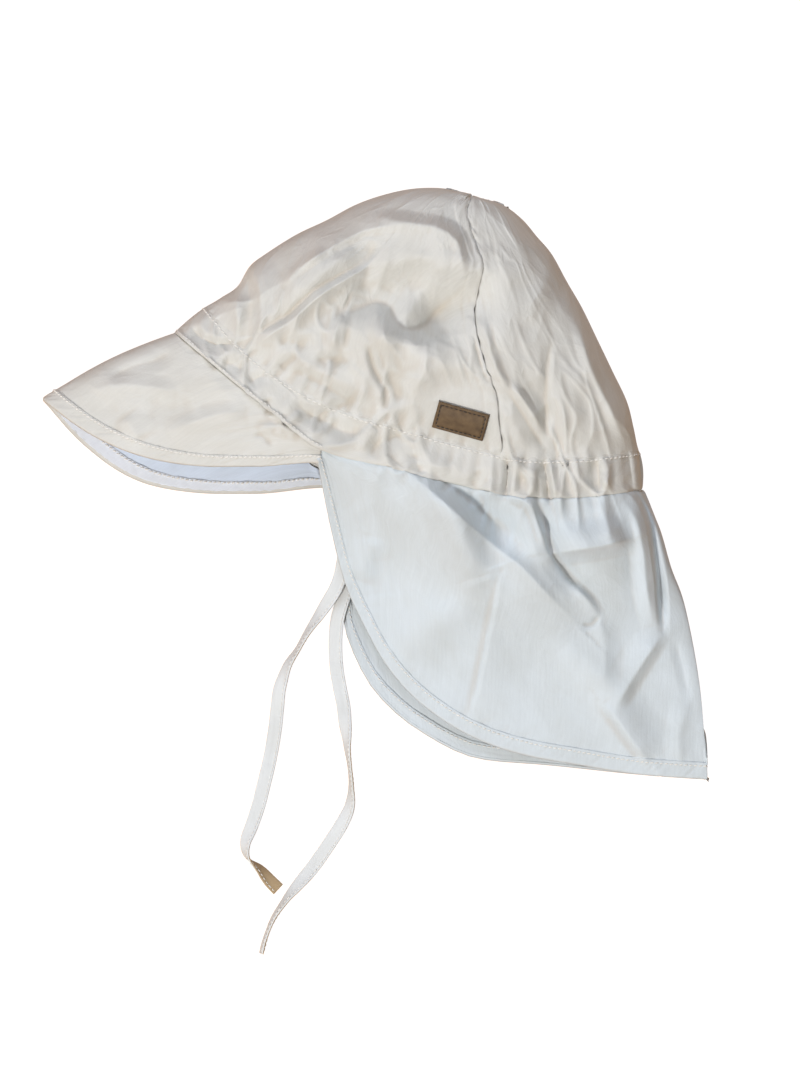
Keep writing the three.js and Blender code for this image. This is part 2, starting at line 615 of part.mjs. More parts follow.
// A tie's centreline. Its frames turn the flat section by the lean at each place.
class TieLine extends THREE.CatmullRomCurve3 {
  constructor(route) {
    const height = ({ lift, lean }) => {
      const tilt = THREE.MathUtils.degToRad(lean);
      return lift + (TIE_WIDTH / 2) * Math.sin(tilt) + (TIE_WALL / 2) * Math.cos(tilt);
    };
    super(route.map((row) => new THREE.Vector3(row.x, row.y, height(row))));
    this.leans = new THREE.SplineCurve(route.map(({ lean }, i) => new THREE.Vector2(i, lean)));
  }

  computeFrenetFrames(segments) {
    const frames = { tangents: [], normals: [], binormals: [] };
    for (let i = 0; i <= segments; i++) {
      const tangent = this.getTangentAt(i / segments);
      const lean = this.leans.getPoint(this.getUtoTmapping(i / segments)).y;
      const across = new THREE.Vector3(0, 0, 1).cross(tangent).normalize();
      across.applyAxisAngle(tangent, THREE.MathUtils.degToRad(lean));
      frames.tangents.push(tangent);
      frames.normals.push(across);
      frames.binormals.push(tangent.clone().cross(across));
    }
    return frames;
  }
}

function tie(name, route) {
  const [w, t] = [TIE_WIDTH / 2, TIE_WALL / 2];
  const corner = t / 2;
  const section = new THREE.Shape([
    new THREE.Vector2(w, corner - t),
    new THREE.Vector2(w, t - corner),
    new THREE.Vector2(w - corner, t),
    new THREE.Vector2(corner - w, t),
    new THREE.Vector2(-w, t - corner),
    new THREE.Vector2(-w, corner - t),
    new THREE.Vector2(corner - w, -t),
    new THREE.Vector2(w - corner, -t),
  ]);
  const geometry = new THREE.ExtrudeGeometry(section, { steps: TIE_STEPS, extrudePath: new TieLine(route) });
  const mesh = new THREE.Mesh(geometry, cotton);
  mesh.name = name;
  return mesh;
}

const hat = new THREE.Group();
hat.add(
  crownPanel("crown_front_left", 0, 2),
  crownPanel("crown_back_left", 3, 3),
  crownPanel("crown_back_right", 4, 4),
  crownPanel("crown_front_right", 5, 7),
  casing(),
  hanging("peak", PEAK, PEAK_STEPS, PEAK_WALL),
  hanging("neck_flap", FLAP, FLAP_STEPS, CLOTH_WALL),
  binding("peak_binding", PEAK),
  binding("flap_binding", FLAP),
  patch(),
);

// The origin is on the surface, at the middle of the hat's length and width.
const middle = new THREE.Box3().setFromObject(hat, true).getCenter(new THREE.Vector3());
hat.position.set(-middle.x, -middle.y, 0);

const cap = new THREE.Group();
cap.add(hat, tie("tie_left", TIE_LEFT_ROUTE), tie("tie_right", TIE_RIGHT_ROUTE));

export default cap;
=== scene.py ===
import math

import bpy
import numpy as np
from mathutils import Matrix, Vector


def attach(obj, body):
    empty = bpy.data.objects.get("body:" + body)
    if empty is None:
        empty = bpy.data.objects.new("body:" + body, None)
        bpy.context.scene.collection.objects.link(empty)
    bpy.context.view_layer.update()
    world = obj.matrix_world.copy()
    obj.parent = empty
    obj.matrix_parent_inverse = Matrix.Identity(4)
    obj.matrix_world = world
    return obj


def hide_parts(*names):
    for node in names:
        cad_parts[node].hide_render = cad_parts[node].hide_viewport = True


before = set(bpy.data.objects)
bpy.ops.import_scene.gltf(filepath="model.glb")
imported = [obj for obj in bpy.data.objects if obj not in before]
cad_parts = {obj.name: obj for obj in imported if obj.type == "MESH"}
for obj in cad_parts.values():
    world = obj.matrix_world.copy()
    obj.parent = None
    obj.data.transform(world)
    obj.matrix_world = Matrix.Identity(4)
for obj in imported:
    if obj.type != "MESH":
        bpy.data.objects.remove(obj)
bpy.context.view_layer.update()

# The camera looks straight down on the cap, from far enough for the picture to be almost flat. The
# photograph is 800 by 1067 pixels of 0.45 mm each, and its middle lies at this place of the frame.
PIXEL = 0.00045
PHOTO_MIDDLE = (0.0102, -0.0221)
CAMERA_PLACE = (0.0110, -0.0221)
CAMERA_HEIGHT = 4.0
MIDDLE_OF_CAP = 0.02


def in_scene(name, data):
    """A new object of this data, at the origin."""
    made = bpy.data.objects.new(name, data)
    bpy.context.scene.collection.objects.link(made)
    return made


camera = in_scene("camera", bpy.data.cameras.new("camera"))
camera.location = (*CAMERA_PLACE, CAMERA_HEIGHT)
camera.data.sensor_width = 36
camera.data.lens = 36 * (CAMERA_HEIGHT - MIDDLE_OF_CAP) / (1067 * PIXEL) * 1.006
camera.data.clip_end = 20
bpy.context.scene.camera = camera


def linear(hex_colour):
    """A colour written as #rrggbb, as the linear values that Blender takes."""
    parts = [int(hex_colour[i:i + 2], 16) / 255 for i in (1, 3, 5)]
    return (*[p / 12.92 if p <= 0.04045 else ((p + 0.055) / 1.055) ** 2.4 for p in parts], 1)


def node(tree, kind, settings=None, **inputs):
    """Adds a node. Its settings are properties, and its inputs are values or sockets to link."""
    added = tree.nodes.new(kind)
    for name, value in (settings or {}).items():
        setattr(added, name, value)
    for name, value in inputs.items():
        socket = added.inputs[int(name[1:])] if name[0] == "_" else added.inputs[name.replace("_", " ")]
        if isinstance(value, bpy.types.NodeSocket):
            tree.links.new(value, socket)
        else:
            socket.default_value = value
    return added


class Line:
    """A smooth line through points: at() goes by their number, and along() by its length."""

    def __init__(self, points):
        self.points = np.array(points, float)
        self.even = np.linspace(0, 1, 401)
        steps = np.diff(self.at(self.even), axis=0)
        self.gone = np.concatenate([[0], np.cumsum(np.linalg.norm(steps, axis=1))])

    def at(self, share):
        p = self.points
        last = len(p) - 1
        t = np.clip(np.asarray(share, float), 0, 1) * last
        i = np.minimum(t.astype(int), last - 1)
        f = (t - i)[..., None]
        before, start, end, after = p[np.maximum(i - 1, 0)], p[i], p[i + 1], p[np.minimum(i + 2, last)]
        v, w = (end - before) / 2, (after - start) / 2
        return (2 * start - 2 * end + v + w) * f**3 + (3 * end - 3 * start - 2 * v - w) * f**2 + v * f + start

    def along(self, share):
        return self.at(np.interp(share, self.gone / self.gone[-1], self.even))


def smooth(value, low, high):
    t = np.clip((value - low) / (high - low), 0, 1)
    return t * t * (3 - 2 * t)


# White cotton poplin: a plain weave of matt yarn that looks chalky, with faint slubs along the warp and a
# slight sheen where it turns away. The weave reads each piece's own UV, in metres, so that it follows the
# cut of the cloth. Poplin has a thread every 0.25 mm, which the render can't show, so the waves are 0.5 mm
# long. The attribute "hollow" marks the bottoms of creases, where brown painted shade is mixed into the
# colour. It stands in for the brown light that the creases gather from the surroundings.
def finish(name):
    """A new material, with its node tree and shader."""
    material = bpy.data.materials.new(name)
    material.use_nodes = True
    return material, material.node_tree, material.node_tree.nodes["Principled BSDF"]


def cotton(name, colour, slub=0.5, crumpled=0.0007):
    material, tree, shader = finish(name)
    shader.inputs["Roughness"].default_value = 0.72
    shader.inputs["Sheen Weight"].default_value = 0.18
    shader.inputs["Sheen Roughness"].default_value = 0.4
    shader.inputs["Specular IOR Level"].default_value = 0.35
    place = node(tree, "ShaderNodeUVMap", {"uv_map": "cloth"}).outputs["UV"]
    warp = node(tree, "ShaderNodeTexWave", {"bands_direction": "X", "wave_profile": "SIN"}, Vector=place,
                Scale=620.0, Distortion=0.6, Detail=1.0)
    weft = node(tree, "ShaderNodeTexWave", {"bands_direction": "Y", "wave_profile": "SIN"}, Vector=place,
                Scale=700.0, Distortion=0.6, Detail=1.0)
    weave = node(tree, "ShaderNodeMath", {"operation": "MULTIPLY"}, _0=warp.outputs["Fac"],
                 _1=weft.outputs["Fac"])
    stretched = node(tree, "ShaderNodeMapping", Vector=place, Scale=(900.0, 60.0, 1.0))
    slubs = node(tree, "ShaderNodeTexNoise", Vector=stretched.outputs["Vector"], Scale=1.0, Detail=3.0,
                 Roughness=0.6)
    cloudy = node(tree, "ShaderNodeTexNoise", Vector=place, Scale=42.0, Detail=4.0, Roughness=0.55)
    rough = node(tree, "ShaderNodeTexNoise", Vector=place, Scale=190.0, Detail=3.0, Roughness=0.6)
    base = linear(colour)
    shade = tuple(c * f for c, f in zip(base[:3], (0.93, 0.92, 0.90))) + (1,)
    ramp = node(tree, "ShaderNodeValToRGB", _0=cloudy.outputs["Fac"])
    ramp.color_ramp.elements[0].position, ramp.color_ramp.elements[0].color = 0.3, shade
    ramp.color_ramp.elements[1].position, ramp.color_ramp.elements[1].color = 0.62, base
    # Painted shade: brown is mixed into the colour by the attribute "hollow", most in the bottoms of creases.
    hollow = node(tree, "ShaderNodeAttribute", {"attribute_name": "hollow"}).outputs["Fac"]
    crease_shade_weight = node(tree, "ShaderNodeMath", {"operation": "MULTIPLY"}, _0=hollow, _1=0.3)
    painted_crease_shade = node(tree, "ShaderNodeMix", {"data_type": "RGBA"}, _0=crease_shade_weight.outputs["Value"],
                 _6=ramp.outputs["Color"], _7=linear("#a98f6c"))
    streak = node(tree, "ShaderNodeMapRange", Value=slubs.outputs["Fac"], From_Min=0.3, From_Max=0.7,
                  To_Min=0.965, To_Max=1.02)
    tint = node(tree, "ShaderNodeVectorMath", {"operation": "SCALE"}, _0=painted_crease_shade.outputs[2])
    tree.links.new(streak.outputs["Result"], tint.inputs["Scale"])
    tree.links.new(tint.outputs["Vector"], shader.inputs["Base Color"])
    fine = node(tree, "ShaderNodeBump", Strength=0.25, Distance=0.0001, Height=weave.outputs["Value"])
    threads = node(tree, "ShaderNodeBump", Strength=slub, Distance=0.00012, Height=slubs.outputs["Fac"],
                   Normal=fine.outputs["Normal"])
    uneven = node(tree, "ShaderNodeBump", Strength=0.3, Distance=0.0007, Height=rough.outputs["Fac"],
                  Normal=threads.outputs["Normal"])
    ridges = node(tree, "ShaderNodeTexNoise", {"noise_type": "RIDGED_MULTIFRACTAL"}, Vector=place, Scale=48.0,
                  Detail=1.0, Roughness=0.4, Lacunarity=2.2, Offset=0.95, Gain=1.6, Distortion=0.6)
    crumple = node(tree, "ShaderNodeBump", Strength=0.5, Distance=crumpled, Height=ridges.outputs["Fac"],
                   Normal=uneven.outputs["Normal"])
    tree.links.new(crumple.outputs["Normal"], shader.inputs["Normal"])
    return material


# Painted light: the crown, casing and peak take a warm copy of the white cotton, and the neck flap a cool one. They
# stand in for the warm and the cool light that falls on them.
warm_lit_cotton = cotton("warm_lit_cotton", "#dad9d4")
cool_lit_cotton = cotton("cool_lit_cotton", "#d5dde2", 0.9, 0.0004)
# Painted light: pale cool blue copies of the cotton for the peak's underside and the inside of its binding, standing
# in for the cool light on them.
cool_lit_underside_cotton = cotton("cool_lit_underside_cotton", "#e2eeff", 0.3, 0.0002)
cool_lit_binding_inside = cotton("cool_lit_binding_inside", "#edf2fb", 0.3, 0.0002)
# Painted shade: a tan copy of the cotton for the ties' undersides, standing in for shade and brown reflected light.
tie_underside_shade_cotton = cotton("tie_underside_shade_cotton", "#b8a07e")
ribbon_cotton = cotton("ribbon_cotton", "#e1e4e5", 0.3)


HOLLOW_REACH, HOLLOW_DEPTH = 0.0013, 0.0005


def hollows(faces, out, ring):
    """How deep each point lies in a crease, from 0 to 1, against the cloth a little way round it."""
    columns, rows = faces.shape[:2]
    step = np.linalg.norm(np.diff(faces[columns // 2 - 2:columns // 2 + 2], axis=0), axis=-1).mean()
    rise = np.linalg.norm(np.diff(faces[columns // 2], axis=0), axis=-1).mean()
    m, n = (max(1, round(HOLLOW_REACH / gap)) for gap in (step, rise))
    i, j = np.arange(columns)[:, None], np.arange(rows)[None, :]
    around = 0
    for di, dj in ((m, 0), (-m, 0), (0, n), (0, -n), (m, n), (-m, -n), (m, -n), (-m, n)):
        a = (i + di) % columns if ring else np.clip(i + di, 0, columns - 1)
        around = around + faces[a, np.clip(j + dj, 0, rows - 1)] / 8
    depth = np.tanh(((around - faces) * out).sum(-1) / HOLLOW_DEPTH)
    return np.clip(depth - 0.1, 0, 1)


def cloth(name, faces, wall, material, *nodes, ring=False, inside=None):
    """A closed sheet of cloth: a grid of points on its outer face, with its wall inside them. It rides on
    the cap in place of the nodes."""
    faces = np.asarray(faces, float)
    columns, rows = faces.shape[:2]
    around = np.roll(faces, -1, 0) - np.roll(faces, 1, 0) if ring else np.gradient(faces, axis=0)
    out = np.cross(around, np.gradient(faces, axis=1))
    length = np.linalg.norm(out, axis=-1, keepdims=True)
    out = out / np.maximum(length, 1e-12)
    points = np.concatenate([faces.reshape(-1, 3), (faces - out * wall).reshape(-1, 3)])
    i, j = np.meshgrid(np.arange(columns if ring else columns - 1), np.arange(rows - 1), indexing="ij")

    def at(side, i, j):
        return side * columns * rows + (i % columns) * rows + j

    quads = [np.stack([at(0, i, j), at(0, i + 1, j), at(0, i + 1, j + 1), at(0, i, j + 1)], -1).reshape(-1, 4),
             np.stack([at(1, i, j), at(1, i, j + 1), at(1, i + 1, j + 1), at(1, i + 1, j)], -1).reshape(-1, 4)]
    i, j = i[:, 0], rows - 1
    quads += [np.stack([at(1, i, 0), at(1, i + 1, 0), at(0, i + 1, 0), at(0, i, 0)], -1),
              np.stack([at(0, i, j), at(0, i + 1, j), at(1, i + 1, j), at(1, i, j)], -1)]
    if not ring:
        j, i = np.arange(rows - 1), columns - 1
        quads += [np.stack([at(1, 0, j), at(0, 0, j), at(0, 0, j + 1), at(1, 0, j + 1)], -1),
                  np.stack([at(0, i, j), at(1, i, j), at(1, i, j + 1), at(0, i, j + 1)], -1)]
    quads = np.concatenate(quads)
    mesh = bpy.data.meshes.new(name)
    mesh.from_pydata(points.tolist(), [], quads.tolist())
    across = np.linalg.norm(np.diff(faces, axis=0), axis=-1)
    u = np.concatenate([np.zeros((1, rows)), np.cumsum(across, 0)])
    u = u - u.mean(0)
    along = np.linalg.norm(np.diff(faces, axis=1), axis=-1)
    v = np.concatenate([np.zeros((columns, 1)), np.cumsum(along, 1)], 1)
    flat = np.tile(np.stack([u, v], -1).reshape(-1, 2), (2, 1))
    layer = mesh.uv_layers.new(name="cloth")
    layer.data.foreach_set("uv", flat[quads.ravel()].ravel())
    # How deep each point lies in a crease, which sets the painted shade in the cloth's colour.
    deep = np.concatenate([hollows(faces, out, ring).ravel(), np.zeros(columns * rows)])
    mesh.attributes.new("hollow", "FLOAT", "POINT").data.foreach_set("value", deep)
    mesh.materials.append(material)
    if inside:
        mesh.materials.append(inside)
        half = (columns if ring else columns - 1) * (rows - 1)
        index = np.zeros(len(quads), int)
        index[half:2 * half] = 1
        mesh.polygons.foreach_set("material_index", index)
    mesh.polygons.foreach_set("use_smooth", np.ones(len(quads), bool))
    made = in_scene(name, mesh)
    if nodes:
        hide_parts(*nodes)
    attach(made, "root")
    return made


# The ties: narrow self-fabric ribbons, folded lengthwise and sewn along one edge. They lie loose on the
# surface, twist on edge here and there, and end bare. Each point has the height of the ribbon's lower
# edge and its lean, in degrees.
TIE_WIDTH, TIE_WALL = 0.0062, 0.0013
TIE_LEFT = [
    (-9.4, 6.1, 34.9, 0), (-10.7, -7.4, 21.4, 0), (-12.2, -20.9, 12.9, 0), (-14, -32.2, 8.6, 0),
    (-15.8, -41.2, 6, 6), (-18.9, -48.8, 4.6, 12), (-24.8, -57.8, 1.2, 40), (-28.8, -63.7, 0.1, 60),
    (-34.2, -72.7, 0.1, 72), (-39.6, -81.7, 0.1, 55), (-42.8, -90.7, 0.1, 30), (-44.1, -99.7, 0.1, 12),
    (-45, -108.7, 0.1, 4), (-46.4, -117.7, 0.1, 0), (-48.2, -126.7, 0.1, 0), (-50.4, -135.7, 0.1, 0),
    (-52.7, -144.7, 0.1, 4), (-55.8, -153.7, 0.1, 18), (-58.4, -161.5, 0.1, 45), (-57.3, -168, 0.1, 80),
    (-51.8, -173, 0.1, 125), (-47.3, -178.4, 0.1, 155), (-43.7, -182, 0.1, 168)]
TIE_RIGHT = [
    (-8.6, -2.9, 1.7, 0), (-9.5, -14.2, 1.7, 0), (-10.4, -25.4, 2.4, 0), (-11.7, -36.7, 2.5, 0),
    (-13.5, -47.9, 2.6, 0), (-16.2, -56.9, 2.4, 0), (-17.6, -63.7, 0.9, 6), (-18, -72.7, 0.1, 10),
    (-17.6, -81.7, 0.1, 6), (-16.2, -90.7, 0.1, 2), (-14.4, -99.7, 0.1, 4), (-13.5, -108.7, 0.1, 30),
    (-12.6, -117.7, 0.1, 65), (-11.7, -126.7, 0.1, 78), (-10.8, -135.7, 0.1, 74), (-11.7, -144.7, 0.1, 45),
    (-15.8, -153.7, 0.1, 14), (-21.6, -162.7, 0.1, 4), (-27.9, -171.7, 0.1, 8), (-35.4, -180.7, 0.1, 40),
    (-41, -187.4, 0.1, 66), (-47.7, -198.7, 0.1, 78), (-51.3, -210.8, 0.1, 78)]

stitch_rows = []


def tie(name, route):
    turned = [math.radians(lean) for *_, lean in route]
    path = Line([(x / 1000, y / 1000, lift / 1000 + TIE_WIDTH / 2 * math.sin(a) + TIE_WALL / 2 * abs(math.cos(a)))
                 for (x, y, lift, _), a in zip(route, turned)])
    leans = Line([(a, 0) for a in turned])
    length = path.gone[-1]
    share = np.linspace(0, 1, int(length / 0.0008))
    middle = path.along(share)
    ahead = np.gradient(middle, axis=0)
    ahead /= np.linalg.norm(ahead, axis=1, keepdims=True)
    across = np.cross((0, 0, 1), ahead)
    across /= np.linalg.norm(across, axis=1, keepdims=True)
    lean = leans.at(np.interp(share, path.gone / length, path.even))[:, 0]
    up = np.cross(ahead, across)
    across, up = (across * np.cos(lean)[:, None] + up * np.sin(lean)[:, None],
                  up * np.cos(lean)[:, None] - across * np.sin(lean)[:, None])
    gone = share * length
    ripple = 0.00018 * np.sin(gone / 0.0031 + 2 * np.sin(gone / 0.017))
    angles = np.linspace(0, 2 * math.pi, 20, endpoint=False)
    wide = np.sign(np.cos(angles)) * np.abs(np.cos(angles)) ** 0.35 * TIE_WIDTH / 2
    thick = np.sign(np.sin(angles)) * np.abs(np.sin(angles)) ** 0.6 * TIE_WALL / 2
    sewn = np.exp(-((wide - TIE_WIDTH * 0.32) / 0.0005) ** 2)
    thick = thick * (1 - 0.45 * sewn)
    ring = (middle[:, None] + across[:, None] * wide[None, :, None]
            + up[:, None] * (thick[None, :] + ripple[:, None] * 0.7)[..., None])
    count, round_ = len(share), len(angles)
    i, j = np.meshgrid(np.arange(count - 1), np.arange(round_), indexing="ij")
    quads = np.stack([i * round_ + j, i * round_ + (j + 1) % round_,
                      (i + 1) * round_ + (j + 1) % round_, (i + 1) * round_ + j], -1).reshape(-1, 4)[:, ::-1]
    mesh = bpy.data.meshes.new(name)
    mesh.from_pydata(ring.reshape(-1, 3).tolist(), [],
                     quads.tolist() + [list(range(round_)), list(range((count - 1) * round_, count * round_))[::-1]])
    layer = mesh.uv_layers.new(name="cloth")
    flat = np.stack(np.broadcast_arrays(wide[None, :], gone[:, None]), -1).reshape(-1, 2)
    loops = np.zeros(len(mesh.loops), int)
    mesh.loops.foreach_get("vertex_index", loops)
    layer.data.foreach_set("uv", flat[loops].ravel())
    mesh.polygons.foreach_set("use_smooth", np.ones(len(mesh.polygons), bool))
    mesh.materials.append(ribbon_cotton)
    # Painted shade: the ribbon's underside is tan, standing in for the shade and brown reflected light where it
    # turns over.
    mesh.materials.append(tie_underside_shade_cotton)
    under = np.zeros((count - 1, round_), int)
    under[:, round_ // 2:] = 1
    mesh.polygons.foreach_set("material_index", np.append(under.ravel(), (0, 0)))
    made = in_scene(name, mesh)
    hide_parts(name)
    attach(made, "root")
    for side in (1, -1):
        seam = middle + across * TIE_WIDTH * 0.32 + up * side * TIE_WALL * 0.34
        stitch_rows.append((seam, up * side, 0.0022, 0.00022))
    return made


tie("tie_left", TIE_LEFT)
tie("tie_right", TIE_RIGHT)

# The cap's shape follows the CAD's, with more of the crown's height in its upper part. Each place on the
# skin has a turn round the head, from the front fold over the left side to the back fold and home under
# the right side, and a level, from the hems (-2) and the casing's foot (-1) to its top (0) and the top of
# the crown (1). Lengths are in millimetres.
CROWN_LENGTH, CROWN_HEIGHT, CROWN_DEPTH = 194, 118, 56
CASING_WIDTH, CASING_DEPTH = 17, 41
PEAK_REACH, PEAK_DEPTH = 66, 34
FLAP_LENGTH, FLAP_DEPTH = 130, 6.5
FOLD_RISE, TIP_RISE, FULLNESS, ROLL_SPREAD = 11, 5.5, 3.4, 1.25
PEAK_BOW, PEAK_STRETCH = 2.6, 1.012
PEAK_END, FLAP_START, SIDE_SEAM = 0.371, 0.373, 0.72
CASING_FRONT = np.array([-76.17, 14.54])
CASING_LINE = np.array([
    (0, 0.334, -0.82, -0.66), (0.091, 0.231, -0.54, -0.6), (0.201, 0.148, -0.55, -0.66),
    (0.326, 0.09, -0.6, -1.02), (0.459, 0.051, -0.18, -1.05), (0.591, 0.013, -0.15, -1.03),
    (0.725, -0.017, -0.05, -0.99), (0.863, -0.017, 0.03, -1.02), (1, 0, 0.11, -1.01)])
FRONT_OUTLINE = [(0, 0), (0.06, 0.09), (0.12, 0.19), (0.165, 0.37), (0.226, 0.486), (0.34, 0.66),
                 (0.453, 0.79), (0.566, 0.935), (0.68, 1.03), (0.79, 1.08), (0.9, 1.075), (1, 1)]
BACK_OUTLINE = [(0, 0), (0.03, 0.1), (0.07, 0.2), (0.157, 0.32), (0.247, 0.443), (0.337, 0.565),
                (0.428, 0.668), (0.518, 0.775), (0.608, 0.845), (0.7, 0.915), (0.82, 0.97), (1, 1)]
CROWN_PUFF = [0, 0.25, 0.44, 0.59, 0.69, 0.76, 0.8, 0.81, 0.8, 0.77, 0.7, 0.54, 0.03]
PEAK_LEFT = [(-0.894, -0.447), (-0.772, -0.515), (-0.603, -0.505), (-0.4, -0.42), (-0.203, -0.264),
             (-0.02, -0.09)]
PEAK_RIGHT = [(-0.894, -0.447), (-0.793, -0.571), (-0.637, -0.603), (-0.423, -0.508), (-0.203, -0.335),
              (0.06, -0.13)]
FLAP_FOLD = [(0, 0), (0.059, -0.128), (0.1, -0.266), (0.149, -0.405), (0.2, -0.682), (0.225, -1)]
FLAP_LEFT = [(-0.012, 0.035), (0.022, 0.239), (0.058, 0.404), (0.107, 0.532), (0.162, 0.648), (0.233, 0.746),
             (0.325, 0.829), (0.421, 0.887), (0.529, 0.927), (0.66, 0.955), (0.822, 0.985), (1, 1)]
FLAP_RIGHT = [(0.03, 0.06), (0.058, 0.227), (0.066, 0.356), (0.06, 0.469), (0.078, 0.566), (0.13, 0.696),
              (0.202, 0.793), (0.28, 0.861), (0.358, 0.913), (0.435, 0.939), (0.591, 0.955), (0.824, 0.985), (1, 1)]


def side_plan(shift, peak_edge, flap_edge):
    """The lines that give one side's plan. shift moves its casing, as shares of the casing's width."""
    slide = np.sin(np.linspace(0, math.pi, len(CASING_LINE)))[:, None] * np.array(shift) * CASING_WIDTH
    top = CASING_FRONT + CASING_LINE[:, :2] * CROWN_LENGTH + slide
    foot = Line(top + CASING_LINE[:, 2:] * CASING_WIDTH)
    crown_top = CASING_FRONT + np.array([0.615 * CROWN_LENGTH, 0.966 * CROWN_HEIGHT])
    fold = Line(foot.at(1) + np.array(FLAP_FOLD) * FLAP_LENGTH)
    corner = foot.at(FLAP_START)
    return {
        "top": Line(top), "foot": foot, "fold": fold,
        "front": Line(top[0] + np.array(FRONT_OUTLINE) * (crown_top - top[0])),
        "back": Line(top[-1] + np.array(BACK_OUTLINE) * (crown_top - top[-1])),
        "peak": Line(np.array(peak_edge) * PEAK_REACH),
        "flap": Line(corner + np.array(flap_edge) * (fold.at(1) - corner)),
    }


LEFT = side_plan((0, 0), PEAK_LEFT, FLAP_LEFT)
RIGHT = side_plan((-0.1, -0.52), PEAK_RIGHT, FLAP_RIGHT)
crown_puff = Line([(puff, 0) for puff in CROWN_PUFF])


def share_of(turn):
    return (1 - np.cos(turn)) / 2


def turn_of(share):
    return np.arccos(1 - 2 * share)


def plan_place(side, share, level, on_peak):
    """The plan place of shares and levels on one side, in millimetres."""
    share, level = np.broadcast_arrays(np.asarray(share, float), np.asarray(level, float))
    up = np.clip(level, 0, 1)
    straight = side["top"].at(0) + (side["top"].at(1) - side["top"].at(0)) * share[..., None]
    front, back = side["front"].along(up), side["back"].along(up)
    crown = front + (back - front) * share[..., None]
    crown = crown + (side["top"].at(share) - straight) * ((1 - up) ** 1.5)[..., None]
    top, foot = side["top"].at(share), side["foot"].at(share)
    band = top + (foot - top) * np.clip(-level, 0, 1)[..., None]
    down = np.maximum(0, -1 - level)
    if on_peak:
        near_fold = np.clip(1 - share / PEAK_END, 0, 1) ** 2
        bow = np.array((-0.45, 0.89)) * PEAK_BOW * np.sin(math.pi * np.minimum(down, 1))[..., None]
        hung = foot + side["peak"].at(share / PEAK_END) * down[..., None] * PEAK_STRETCH
        hung = hung + bow * near_fold[..., None]
    else:
        across = np.maximum(0, share - FLAP_START) / (1 - FLAP_START)
        fold = side["fold"]
        bow = fold.at(down) - (fold.at(0) + (fold.at(1) - fold.at(0)) * down[..., None])
        hung = foot + (side["flap"].along(across) - foot) * down[..., None] + bow * (across**2)[..., None]
    return np.where((level >= 0)[..., None], crown, np.where((level >= -1)[..., None], band, hung))


def arch(share):
    return np.sqrt(np.maximum(0, 1 - np.abs(2 * share - 1) ** FULLNESS))


def fold_rise(level):
    return FOLD_RISE + (TIP_RISE - FOLD_RISE) * np.clip(-1 - level, 0, 1)


def bulge(share, level, on_peak):
    """How far the side that faces up stands above the folds, before its wrinkles."""
    casing = (CASING_DEPTH - FOLD_RISE) * arch(share)
    up, down = np.clip(level, 0, 1), np.maximum(0, -1 - level)
    crown = (CROWN_DEPTH - FOLD_RISE) * crown_puff.at(up)[..., 0] * arch(share) + casing * (1 - up) ** 2
    if on_peak:
        to_tip = np.clip(1 - share / PEAK_END, 0, 1)
        edge = (PEAK_DEPTH - TIP_RISE) * np.sqrt(1 - to_tip**2) + (CASING_DEPTH - PEAK_DEPTH) * (1 - to_tip) ** 8
        hung = casing + (edge - casing) * down
    else:
        across = np.clip((share - FLAP_START) / (1 - FLAP_START), 0, 1)
        hem = (FLAP_DEPTH - TIP_RISE) * np.sqrt(1 - across**4) + (CASING_DEPTH - FLAP_DEPTH) * (1 - across) ** 8
        hung = hem + (casing - hem) * smooth(1 - down, 0, 1)
    return np.where(level >= 0, crown, np.where(level >= -1, casing, hung))


def to_line(places, line):
    """The distance from each place to a chain of points, how far along it that is, and on which side."""
    best = np.full(places.shape[:-1], 1e9)
    along, side = np.zeros_like(best), np.zeros_like(best)
    count = len(line) - 1
    for k in range(count):
        run = line[k + 1] - line[k]
        offset = places - line[k]
        t = np.clip((offset @ run) / (run @ run), 0, 1)
        off = offset - t[..., None] * run
        away = np.linalg.norm(off, axis=-1)
        nearer = away < best
        best = np.where(nearer, away, best)
        along = np.where(nearer, (k + t) / count, along)
        side = np.where(nearer, np.sign(run[0] * off[..., 1] - run[1] * off[..., 0]), side)
    return best, along, side


def rest_height(places, level):
    """The height of the side that lies on the surface, rolling down to it from the folds and outline."""
    rise = fold_rise(level)
    ends = [plan_place(RIGHT, np.full(level.shape, float(end)), level, end == 0) for end in (0, 1)]
    away = np.minimum(*[np.linalg.norm(places - end, axis=-1) for end in ends])
    for name in ("front", "back"):
        to_outline = to_line(places, RIGHT[name].at(np.linspace(0, 1, 61)))[0]
        away = np.where(level > 0, np.minimum(away, to_outline), away)
    left = np.maximum(0, 1 - away / (ROLL_SPREAD * rise))
    return rise * (1 - np.sqrt(np.maximum(0, 1 - left**2)))


